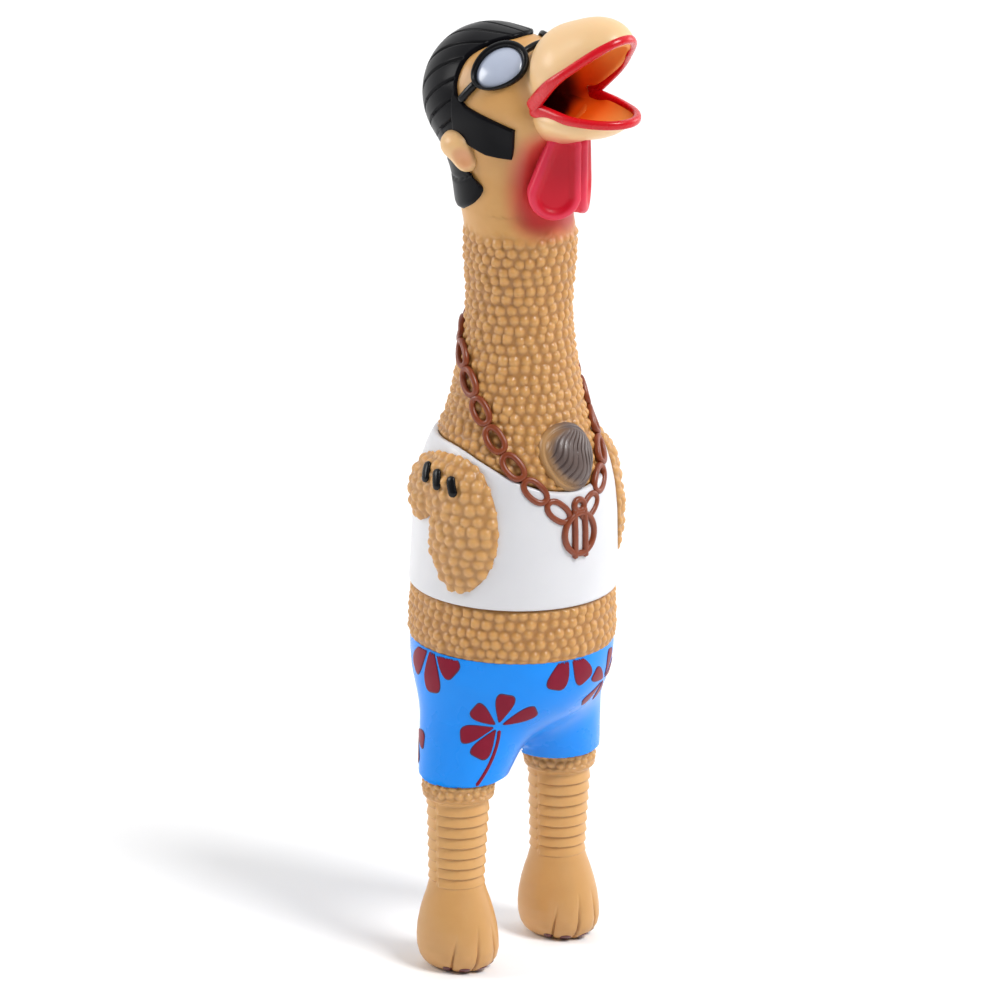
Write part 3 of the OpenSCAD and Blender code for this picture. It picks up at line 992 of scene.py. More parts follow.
@dataclass
class Jaw:
    """The lower beak and both lips."""

    rim_z: float = 397.4
    rim_angle: float = math.radians(1.0)
    step: float = 0.8
    lip_width: float = 3.6
    lip_height: float = 5.0
    rim_count: int = 110
    rounds: int = 30

    def rim_height(self, p: Points) -> Points:
        """Return how far each point is above the plane of the lower rim."""
        above, behind = p[..., 2] - self.rim_z, p[..., 1] - HEAD.corner_y
        return above * math.cos(self.rim_angle) - behind * math.sin(self.rim_angle)

    def block(self, p: Points) -> Points:
        """Return the distance to the lower beak's outer form, before its rim and spoon are cut."""
        bowl = ball(p, (0, -34, 392.5), (20.8, 20, 9.0))
        tip = ball(p, (0, -49.0, 397.5), (13.5, 15.0, 6.0))
        chin = ball(p, (0, -24, 387.5), (14, 12, 9))
        return soft_min(soft_min(bowl, tip, 11.0), chin, 9.0)

    def spoon(self, p: Points) -> Points:
        """Return the distance to the hollow of the lower beak."""
        return soft_min(ball(p, (0, -40, 398.5), (16.5, 22, 8.5)), HEAD.throat(p), 3.0)

    def shape(self, p: Points) -> Points:
        """Return the distance to the finished lower beak."""
        return soft_max(soft_max(self.block(p), self.rim_height(p), 1.2), -self.spoon(p), 2.0)

    def _bend(self, piece: bpy.types.Object) -> None:
        """Bake the transform of a piece of the jaw into its mesh."""
        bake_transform(piece)

    def _rim(self, block: Field, centre: Sequence[float], angle: float, corner_turn: float) -> Points:
        """Draw the outline of a beak in the plane of its rim.

        Args:
            block: distance function of the beak.
            centre: a point of the plane, inside the beak.
            angle: how far the plane falls towards the tip.
            corner_turn: how far round from the tip the outline goes on either side.

        Returns:
            Points from one corner of the mouth to the other.
        """
        turn = np.linspace(-corner_turn, corner_turn, self.rim_count)
        way = np.stack([np.sin(turn), -np.cos(turn), 0 * turn], axis=-1)
        way = pitched(way, angle)
        return cast(block, np.broadcast_to(np.array(centre), way.shape), way, 60.0)

    def build(self) -> None:
        """Make the lower beak and the two lips."""
        whole = implicit(self.shape, (-30, -80, 366), (30, -6, 404), self.step)
        p = whole.points
        whole.masks = {
            "valley_shade": np.zeros(len(p)),
            "pale": 1 - ease(-34.0, -20.0, p[:, 1]),
            "blush": throat_blush(p) * 0.8,
            # Painted shade that darkens the spoon towards the throat, and painted light that brightens its
            # front.
            "deep": ease(-25.0, -19.0, p[:, 1]),
            "painted_light": 0.9 * (1 - ease(-52.0, -30.0, p[:, 1])),
        }
        inside = self.spoon(whole.middles()) < 0.9
        outer = whole.part(~inside).build("lower_beak_skin", LATEX)
        stand_in(outer, "beak_paint", "lower_beak")
        self._bend(outer)
        lining = whole.part(inside).build("tongue_floor_skin", MOUTH)
        stand_in(lining, "mouth_paint")
        self._bend(lining)
        self._lips()

    def _to_corners(self, path: Points) -> Points:
        """Draw both ends of a lip into the corners of the mouth, which are 0.8 mm under the skin."""
        share = ease(0.80, 1.0, np.abs(np.linspace(-1, 1, len(path))))[:, None]
        starts = np.tile([0.0, HEAD.corner_y + 0.5, HEAD.corner_z], (2, 1))
        ways = np.array([[-1.0, 0.0, 0.0], [1.0, 0.0, 0.0]])
        right, left = cast(self._outside, starts, ways, 60.0) - 0.8 * ways
        half = len(path) // 2
        ends = (right, left) if path[0, 0] < 0 else (left, right)
        target = np.concatenate([np.tile(ends[0], (half, 1)), np.tile(ends[1], (len(path) - half, 1))])
        path = path * (1 - share) + target * share
        for _ in range(self.rounds):
            path[1:-1] = 0.25 * path[:-2] + 0.5 * path[1:-1] + 0.25 * path[2:]
        return path

    def _outside(self, p: Points) -> Points:
        """Return the distance to the head with its beak uncut."""
        return np.minimum(HEAD.skull(p), HEAD.beak_block(p))

    def _lips(self) -> None:
        """Sweep the two red rims around the mouth."""
        upper = self._rim(HEAD.beak_block, (0.0, -35.0, 408.05), -HEAD.rim_angle, math.radians(116))
        lower = self._rim(self.block, (0.0, -36.0, 397.16), self.rim_angle, math.radians(112))
        upper_up = (0.0, math.sin(HEAD.rim_angle), math.cos(HEAD.rim_angle))
        for name, path, way, lift in (
            ("upper_lip", upper, upper_up, 1.2),
            ("lower_lip", lower, (0.0, 0.0, 1.0), -1.4),
        ):
            up = np.tile(way, (len(path), 1))
            middle = self._to_corners(path + 0.1 * unit(path - path.mean(axis=0)) + lift * up)
            swell = 0.80 + 0.55 * ease(0.45, 0.95, np.abs(np.linspace(-1, 1, len(path))))
            sheet = tube(middle, up, self.lip_width, self.lip_height * swell, sides=20)
            piece = sheet.build(f"{name}_rim", LIP_RED)
            stand_in(piece, "red_paint", name)
            if name == "upper_lip":
                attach(piece, "head")
            else:
                self._bend(piece)


@dataclass
class Wattles:
    """Two red teardrop lobes with thick rims, back to back under the beak."""

    step: float = 0.6
    facing: float = math.radians(38)
    top: tuple[float, float] = (3.6, 379.0)
    bottom: tuple[float, float] = (0.0, 357.4)
    radius: float = 11.4
    top_radius: float = 7.4
    rim: float = 2.3

    def _outline(self, u: Points, v: Points) -> Points:
        """Return the flat distance to the teardrop."""
        flat = np.stack([u, v], axis=-1)
        return cone(flat, self.bottom, self.top, self.radius, self.top_radius)

    def _local(self, p: Points, side: Side) -> tuple[Points, Points, Points]:
        """Return a point's place in one lobe: forwards along it, up, and out of its face."""
        turn = side.value * self.facing
        out = np.array([math.sin(turn), -math.cos(turn), 0.0])
        ahead = np.array([-math.cos(turn) * side.value, -math.sin(turn) * side.value, 0.0])
        centre = np.array([side.value * 8.8, -28.6, 0.0])
        q = p - centre
        return q @ ahead, p[..., 2], q @ out

    def build(self) -> None:
        """Mesh both lobes."""
        for side in Side:
            def shape(p: Points, side: Side = side) -> Points:
                """Return the distance to this lobe."""
                u, v, w = self._local(p, side)
                flat = self._outline(u, v)
                plate = soft_max(flat, np.abs(w + 2.6) - 4.2, 2.2)
                edge = np.hypot(flat + self.rim, w - 0.6) - self.rim
                return soft_min(plate, edge, 1.4)

            sheet = implicit(shape, (-26, -48, 334), (26, -12, 384), self.step)
            u, v, w = self._local(sheet.points, side)
            flat = self._outline(u, v)
            sheet.masks = {"dish": ease(1.6, 3.6, -flat) * ease(-1.0, 0.8, w)}
            piece = sheet.build(f"{side.word}_wattle_lobe", WATTLE_RED)
            stand_in(piece, "red_paint", f"{side.word}_wattle")
            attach(piece, "head")


@dataclass
class Hair:
    """The swept-back hair: bands between grooves that run from the brow to the nape."""

    centre: tuple[float, float, float] = (0.0, 12.0, 388.0)
    brow: tuple[float, float, float] = (0.0, -30.0, 412.0)
    nape: tuple[float, float, float] = (0.0, 46.0, 352.0)
    crown: tuple[float, float, float] = (0.0, 0.72, 0.69)
    thickness: float = 2.0
    bands: int = 24
    groove: float = 1.4
    rows: int = 130
    columns: int = 560

    def _hairline(self, count: int) -> Points:
        """Return directions from the centre to the hairline, once around."""
        right = [
            (0, -0.5, 421.5), (-6, 1, 420.5), (-13.5, 7.8, 418), (-20, 14, 412), (-25.5, 15.2, 402.5),
            (-27, 13, 395), (-27.5, 12.5, 386), (-26.5, 13, 377), (-25, 12, 368), (-24, 7, 363),
            (-23.3, 0, 357), (-20.5, 11.5, 350), (-12, 25.5, 345.5),
        ]
        left = [(-x, y, z) for x, y, z in reversed(right[1:])]
        loop = closed_curve(right + [(0, 30.5, 344.5)] + left, count)
        return unit(loop - np.array(self.centre))

    def _grooves(self, way: Points) -> Points:
        """Return the depth of the combed grooves at each direction, 0 to 1."""
        axis = unit(np.array(self.nape) - np.array(self.brow))
        across = np.array([1.0, 0.0, 0.0])
        upward = np.cross(axis, across)
        turn = np.arctan2(way @ across, np.abs(way @ upward) * np.sign(way @ upward))
        wave = np.abs(np.sin(turn * self.bands / 2 + 0.35 * np.sin(2 * (way @ axis))))
        return np.clip(1 - wave / 0.3, 0, 1) ** 1.4

    def build(self) -> None:
        """Make the hair as one raised patch over the cranium."""
        line = self._hairline(self.columns)
        pole = np.array(self.crown)
        angle = np.arccos(np.clip(line @ pole, -1, 1))
        tangent = unit(line - (line @ pole)[:, None] * pole)
        share = np.linspace(0.02, 1.0, self.rows) ** 0.9
        spread = share[:, None] * angle[None, :]
        way = np.cos(spread)[..., None] * pole + np.sin(spread)[..., None] * tangent[None]
        base = cast(HEAD.skull, np.broadcast_to(np.array(self.centre), way.shape), way, 70.0)
        edge_mm = (1 - share)[:, None] * angle[None, :] * 30.0
        height = self.thickness * rounded_edge(edge_mm / 1.3) - 0.15
        height = height - self.groove * self._grooves(way) * ease(0.2, 2.0, edge_mm)
        cap = capped(base + height[..., None] * slope_of(HEAD.skull, base))
        piece = cap.build("hair_cap_combed", HAIR_BLACK)
        stand_in(piece, "black_paint", "hair_cap")
        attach(piece, "head")


def raised_patch(
    shape: Field, outline: Points, height: float, edge: float, rings: int = 12, crown: float = 0.0
) -> Sheet:
    """Lay a raised patch over a solid, with its very edge a little under the surface.

    Args:
        shape: distance function of the solid.
        outline: closed outline, near the surface and star-shaped about its middle.
        height: how proud the patch stands.
        edge: width of its rounded edge.
        rings: rings of points between the middle and the outline.
        crown: further height at the middle.

    Returns:
        The patch.
    """
    middle = outline.mean(axis=0)
    share = np.concatenate([np.linspace(0.03, 0.8, rings), 1 - np.geomspace(0.17, 0.004, 8), [1.0]])
    spread = middle + share[:, None, None] * (outline - middle)[None]
    base = snapped(shape, spread)
    reach = np.linalg.norm(outline - middle, axis=-1)
    inset = (1 - share)[:, None] * reach[None]
    lift = height * rounded_edge(inset / edge) - 0.3 * (inset < 1e-6) + crown * (1 - share[:, None] ** 2)
    return capped(base + lift[..., None] * slope_of(shape, base))


def cornered(points: Sequence[Sequence[float]], per_side: int) -> Points:
    """Draw a closed outline with sharp corners.

    Args:
        points: its corners.
        per_side: how many points each side gets.

    Returns:
        Points along the outline.
    """
    knots = np.array(points, float)
    ahead = np.roll(knots, -1, axis=0)
    share = np.arange(per_side) / per_side
    return (knots[:, None] + share[None, :, None] * (ahead - knots)[:, None]).reshape(-1, knots.shape[1])


@dataclass
class FaceTrim:
    """Sideburns, ears and sunglasses, each made on both sides of the head."""

    burn: tuple[tuple[float, float], ...] = (
        (16, 398), (7.5, 393), (-17, 386.5), (-12.5, 371.8), (-2.6, 372.5), (6, 375.2), (16, 379.5),
    )
    dish_radii: tuple[float, float, float] = (5.2, 5.0, 4.8)
    lens_centre: tuple[float, float, float] = (18.2, -2.8, 411.0)
    lens_length: float = 11.8
    lens_height: float = 8.8
    lens_count: int = 96
    frame_width: float = 2.3

    def _side_outline(self, side: Side, outline: Points) -> Points:
        """Put a side-view outline (y, z) onto one side of the head."""
        start = np.stack([np.zeros(len(outline)), outline[:, 0], outline[:, 1]], axis=-1)
        way = np.broadcast_to(np.array([float(side.value), 0.0, 0.0]), start.shape)
        return cast(HEAD.skull, start, way, 60.0)

    def _put(self, sheet: Sheet, name: str, finish: Finish, node: str, slot: str) -> None:
        """Build a sheet that rides on the head.

        Args:
            sheet: its mesh.
            name: name of the piece.
            finish: its finish.
            node: the node of the frame that it replaces.
            slot: its paint slot.
        """
        piece = sheet.build(name, finish)
        stand_in(piece, slot, node)
        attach(piece, "head")

    def sideburn(self, side: Side) -> None:
        """Make the wedge of hair in front of the ear."""
        outline = self._side_outline(side, cornered(self.burn, 26))
        sheet = raised_patch(HEAD.skull, outline, 1.9, 1.0, rings=20)
        self._put(sheet, f"{side.word}_sideburn_wedge", HAIR_BLACK, f"{side.word}_sideburn", "black_paint")

    def ear(self, side: Side) -> None:
        """Make the cupped ear with its reddish hollow."""
        s = side.value
        dish_centre = (s * 33.4, 5.0, 369.5)

        def shape(p: Points) -> Points:
            """Return the distance to the ear."""
            upper = ball(p, (s * 26.0, 14.0, 374.0), (7.0, 8.2, 7.0))
            lobe = ball(p, (s * 25.5, 9.0, 368.0), (4.8, 5.8, 5.4))
            return soft_max(soft_min(upper, lobe, 4.0), -ball(p, dish_centre, self.dish_radii), 2.2)

        low, high = sorted((s * 16.0, s * 38.0))
        sheet = implicit(shape, (low, -4, 354), (high, 26, 386), 0.6)
        hollow = ball(sheet.points, dish_centre, self.dish_radii)
        zero = np.zeros(len(hollow))
        sheet.masks = {"valley_shade": zero, "pale": zero + 0.55, "blush": (1 - ease(-0.5, 3.0, hollow)) * 0.3}
        self._put(sheet, f"{side.word}_ear_cup", LATEX, f"{side.word}_ear", "skin_latex")

    def _lens_plane(self, side: Side) -> tuple[Points, Points, Points]:
        """Return the lens's middle and the two directions of its own plane."""
        centre = snapped(HEAD.skull, np.array(self.lens_centre) * np.array([side.value, 1, 1]))
        out = slope_of(HEAD.skull, centre)
        forwards = np.array([-side.value * 0.58, -0.56, 0.60])
        along = unit(forwards - (forwards @ out) * out)
        return centre, along, np.cross(out, along) * side.value

    def _lens_outline(self, side: Side, grow: float) -> Points:
        """Return the egg-shaped outline of a lens, grown by some millimetres."""
        centre, along, across = self._lens_plane(side)
        turn = np.linspace(0, 2 * math.pi, self.lens_count, endpoint=False)
        u = (self.lens_length + grow) * np.cos(turn)
        v = (self.lens_height + grow) * np.sin(turn) * (1 + 0.14 * np.cos(turn))
        return snapped(HEAD.skull, centre + u[:, None] * along + v[:, None] * across)

    def _band(self, path: Points, width: float | Points, height: float, closed: bool = False) -> Sheet:
        """Sweep a frame bar that lies on the head.

        Args:
            path: points of its middle line, near the head.
            width: its width along the head, as one number or one a point.
            height: how thick it is.
            closed: whether it is a loop.

        Returns:
            The bar.
        """
        path = snapped(HEAD.skull, path, gap=height * 0.28)
        return tube(path, slope_of(HEAD.skull, path), width, height, closed=closed)

    def sunglasses(self) -> None:
        """Make the frame with its bridge and temples, and the two lenses."""
        bars, inner_ends = [], []
        for side in Side:
            around = np.linspace(0, 2 * math.pi, self.lens_count, endpoint=False)
            width = self.frame_width + 0.9 * np.cos(around + 0.5)
            bars.append(self._band(self._lens_outline(side, self.frame_width / 2), width, 3.8, closed=True))
            centre, along, _ = self._lens_plane(side)
            hinge = centre - along * (self.lens_length + 0.6)
            end = np.array([side.value * 27.0, 11.0, 394.5])
            share = np.linspace(0, 1, 24)[:, None]
            bars.append(self._band(hinge + share * (end - hinge), 3.6, 3.4))
            lens = raised_patch(HEAD.skull, self._lens_outline(side, 0.4), 0.6, 1.5, crown=0.9)
            self._put(lens, f"{side.word}_lens_dome", LENS_GREY, f"{side.word}_lens", "lens_paint")
            inner_ends.append(centre + along * self.lens_length)
        share = np.linspace(0, 1, 40)[:, None]
        bridge = inner_ends[0] * (1 - share) + inner_ends[1] * share
        bridge = bridge + np.array([0, 0, 2.0]) * np.sin(share * math.pi)
        bars.append(self._band(bridge, 2.8, 3.4))
        self._put(joined(bars), "sunglasses_frame_bars", GLOSS_BLACK, "sunglasses_frame", "black_paint")

    def build(self) -> None:
        """Make all the trim of the face."""
        for side in Side:
            self.sideburn(side)
            self.ear(side)
        self.sunglasses()


def chest_points(turn: Points, z: Points, rise: Points) -> Points:
    """Return points over the chest, whose front is turned a little to the right."""
    return on_body(turn + CHEST_TURN, z, rise)


@dataclass
class Shirt:
    """The raised white sleeveless shirt with its scooped neckline."""

    proud: float = 1.7
    edge: float = 1.6
    columns: int = 420
    rows: int = 96
    scoop_z: float = 224.0
    strap_rise: float = 4.0

    def neckline(self, turn: Points) -> Points:
        """Return the height of the upper edge in each direction from the chest."""
        climb = np.sin(np.clip(0.93 * np.abs(turn), 0, math.pi / 2)) ** 2
        return self.scoop_z + (SHIRT_TOP_Z + self.strap_rise - self.scoop_z) * climb

    def build(self) -> None:
        """Make the shirt."""
        turn = np.linspace(-math.pi, math.pi, self.columns, endpoint=False)[None, :]
        top = self.neckline(turn)
        hem = np.array([0, 0.004, 0.01, 0.018, 0.028])
        share = np.concatenate([hem, np.linspace(0.04, 0.96, self.rows), 1 - hem[::-1]])
        z = SHIRT_HEM_Z + share[:, None] * (top - SHIRT_HEM_Z)
        edge_mm = np.minimum(share, 1 - share)[:, None] * (top - SHIRT_HEM_Z)
        lift = self.proud * rounded_edge(edge_mm / self.edge)
        soft = 0.12 * np.sin(3 * turn + z * 0.06) * ease(0, 8, edge_mm)
        grid = chest_points(turn + 0 * z, z, lift + soft - 0.2 * (edge_mm < 1e-9))
        sheet = Sheet(grid.reshape(-1, 3), grid_faces(len(share), self.columns, True))
        piece = sheet.build("tank_top_shell", SHIRT_WHITE)
        stand_in(piece, "shirt_paint", "tank_top")
        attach(piece, "torso")


@dataclass
class ChestTuft:
    """The tuft of hair at the neckline: combed strands inside a smooth rim."""

    z: float = 238.0
    half_width: float = 14.0
    half_height: float = 14.5
    bulge: float = 7.5
    count: int = 260
    rings: int = 80

    def build(self) -> None:
        """Make the tuft as one pillow with combed grooves."""
        turn = np.linspace(0, 2 * math.pi, self.count, endpoint=False)[None, :]
        share = np.linspace(0.01, 1.0, self.rings)[:, None]
        s = share * self.half_width * np.cos(turn) * (1 + 0.10 * np.sin(turn))
        h = share * self.half_height * np.sin(turn)
        swirl = np.arctan2(s - 12.0, 24.0 - h) * 40 + 1.3 * np.sin(h * 0.33 + s * 0.23)
        groove = np.clip(1 - np.abs(np.sin(swirl)) / 0.6, 0, 1) * (0.7 + 0.3 * np.sin(swirl * 0.37 + h * 0.4))
        groove = groove * (1 - ease(0.62, 0.86, share)) * ease(0.0, 0.15, share)
        lift = self.bulge * np.clip(1 - share**2.4, 0, 1) ** 0.75 - 0.9 * groove + 0.2
        lift = lift - 1.1 * np.exp(-(((share - 0.83) / 0.05) ** 2)) - 0.8 * (share >= 1)
        z = self.z + h
        grid = chest_points(s / BODY.radius(z), z, lift)
        side = ease(-0.3, 0.8, np.cos(turn - 3.2)) * ease(0.60, 0.88, share)
        # The groove mask is painted shade in the combed grooves.
        masks = {"rim": np.clip(side + 0 * s, 0, 1).reshape(-1), "groove": (groove * 0.5).reshape(-1)}
        sheet = Sheet(grid.reshape(-1, 3), grid_faces(self.rings, self.count, True), masks)
        piece = sheet.build("chest_tuft_combed", TUFT_GREY)
        stand_in(piece, "tuft_paint", "chest_tuft")
        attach(piece, "torso")


@dataclass
class Chain:
    """The neck chain of flat oval links and its openwork pendant."""

    pitch: float = 14.0
    length: float = 14.8
    width: float = 9.4
    wire: float = 2.8
    height: float = 2.8
    offset: float = math.radians(-2.6)
    pendant_z: float = 205.4
    points: int = 56

    def _z(self, turn: Points) -> Points:
        """Return the height at which the chain crosses a direction from the chest."""
        s = np.sin(np.asarray(turn) / 2)
        return 210.0 + 92.0 * s**1.15 * (1 - 0.12 * s**6)

    def _turns(self) -> list[float]:
        """Return the directions of the links on one side, evenly spaced so that the loop closes."""
        turn = np.linspace(math.radians(11.0), math.pi, 400)
        z = self._z(turn)
        steps = np.hypot(np.diff(z), np.diff(turn) * BODY.radius(z[1:]))
        run = np.concatenate([[0.0], np.cumsum(steps)])
        count = round(run[-1] / self.pitch + 0.5)
        places = np.arange(count) * run[-1] / (count - 0.5)
        return np.interp(places, run, turn).tolist()

    def _link(self, turn: float, side: Side) -> Sheet:
        """Return one link, bent to the skin under it."""
        z = float(self._z(turn))
        around = float(BODY.radius(z))
        stretch = math.hypot(1, float(BODY.radius(z + 1) - BODY.radius(z - 1)) / 2)
        rise = float(self._z(turn + 0.01) - self._z(turn - 0.01)) / 0.02
        lean = math.atan2(rise * stretch, around)
        u, v = squarish(self.points, 0.9)
        u, v = (self.length - self.wire) / 2 * u, (self.width - self.wire) / 2 * v
        s = (u * math.cos(lean) - v * math.sin(lean)) * side.value
        h = u * math.sin(lean) + v * math.cos(lean)
        turns = side.value * turn + s / around + self.offset
        return self._wire(turns, z + h / stretch, 1.5, self.height, True)

    def _wire(self, turn: Points, z: Points, rise: float, height: float, closed: bool) -> Sheet:
        """Sweep the chain's wire over the chest.

        Args:
            turn: directions of its middle line from the chest.
            z: heights of its middle line.
            rise: how far the middle line is above the skin.
            height: how thick the wire is.
            closed: whether it is a loop.

        Returns:
            The wire.
        """
        path = chest_points(turn, z, np.full(len(turn), rise))
        outer = chest_points(turn, z, np.full(len(turn), rise + 1.0))
        return tube(path, outer - path, self.wire, height, sides=12, closed=closed)

    def _pendant(self) -> Sheet:
        """Return the pendant: an oval ring, two upright bars and a hanging eye."""
        angle = np.linspace(0, 2 * math.pi, 72, endpoint=False)
        bar = np.linspace(-11.4, 11.6, 30)
        lines = (
            (7.8 * np.cos(angle), 9.0 * np.sin(angle), True),
            (2.6 * np.cos(angle), 12.4 + 2.4 * np.sin(angle), True),
            (-2.7 + 0 * bar, bar, False),
            (2.7 + 0 * bar, bar, False),
        )
        around = float(BODY.radius(self.pendant_z + 0.6))
        return joined([
            self._wire(u / around, self.pendant_z + v, 2.1, 3.0, closed) for u, v, closed in lines
        ])

    def build(self) -> None:
        """Make the links and the pendant."""
        links = joined([self._link(turn, side) for turn in self._turns() for side in Side])
        piece = links.build("chain_links_ovals", BRONZE)
        stand_in(piece, "chain_paint", "chain_links", "chain_links_upper")
        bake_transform(piece)
        pendant = self._pendant().build("pendant_openwork", BRONZE)
        stand_in(pendant, "chain_paint", "pendant")
        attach(pendant, "torso")


@dataclass
class Wing:
    """A folded wing: two nubby lobes on the side of the shirt, held at the shoulder."""

    side: Side
    turn: float = math.radians(69.5)
    z: float = 208.0
    step: float = 0.75
    gap: float = 1.4
    swept_back: float = math.radians(5.0)
    nubs: Nubs = Nubs(pitch=5.3, radius=2.7, height=1.35)

    def _shape(self, q: Points) -> Points:
        """Return the distance to the wing, laid flat: across to the rear, up, and out."""
        main = ball(q, (1.2, -1.5, 1.5), (18.0, 28.0, 4.8))
        shoulder = ball(q, (13.0, 17.0, 1.5), (20.0, 12.0, 5.0))
        rear = ball(q, (28.5, 12.0, 1.0), (13.5, 14.5, 5.6))
        lobes = soft_min(soft_min(main, shoulder, 5.0), rear, 1.6)
        return soft_max(lobes, self.gap - q[..., 2], 0.8)

    def _bend(self, flat: Points) -> Points:
        """Wrap the flat wing around the chest."""
        z = self.z + flat[:, 1]
        swept = self.swept_back if self.side is Side.LEFT else 0.0
        turn = self.side.value * (self.turn + swept + flat[:, 0] / 45.5)
        return chest_points(turn, z, flat[:, 2])

    def _bumped(self, flat: Points) -> tuple[Points, Points]:
        """Raise the nubs on the outside of the flat wing, and return how high they stand."""
        out = slope_of(self._shape, flat)
        lattice = self.nubs.rise(flat[:, 0] / 40.0 + 1.0, flat[:, 1] + 80.0, lambda run: 40.0 + 0 * run)
        rise = lattice * ease(0.05, 0.55, out[:, 2])
        return flat + rise[:, None] * out, rise

    def build(self) -> None:
        """Make the wing."""
        points, faces = solid_net(self._shape, (-22, -34, -3), (47, 38, 12), self.step)
        points = relaxed(self._shape, points, faces)
        bumped, rise = self._bumped(points)
        if self.side is Side.RIGHT:
            faces = faces[:, ::-1]
        zero = np.zeros(len(points))
        # Painted shade in the valleys between the nubs.
        valley_shade = (1 - rise / self.nubs.height).clip(0, 1) ** 2 * 0.6
        masks = {"valley_shade": valley_shade, "pale": zero + 0.08, "blush": zero}
        word = self.side.word
        piece = Sheet(self._bend(bumped), faces, masks).build(f"{word}_wing_lobes", LATEX)
        stand_in(piece, "skin_latex", f"{word}_wing")
        self._hang(piece)
        if self.side is Side.RIGHT:
            self._marks()

    def _hang(self, piece: bpy.types.Object) -> None:
        """Bake the transform of a piece of the wing into its mesh."""
        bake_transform(piece)

    def _marks(self) -> None:
        """Make the three plain black strokes across the shoulder."""
        strokes = []
        for number in range(3):
            run = np.linspace(-4.4, 4.4, 24)
            u = 4.0 + 8.6 * number + 0.4 * run
            v = 17.0 + 1.2 * number + 0.9 * run
            start = np.stack([u, v, 0 * run + 3.0], axis=-1)
            way = np.broadcast_to(np.array([0.0, 0.0, 1.0]), start.shape)
            surface = cast(self._shape, start, way, 12.0)
            path = self._bend(surface + np.array([0, 0, 1.1]))
            outer = self._bend(surface + np.array([0, 0, 2.1]))
            strokes.append(tube(path, outer - path, 4.4, 2.2, sides=14))
        piece = joined(strokes).build("arm_marks_strokes", GLOSS_BLACK)
        stand_in(piece, "black_paint", "arm_marks")
        self._hang(piece)


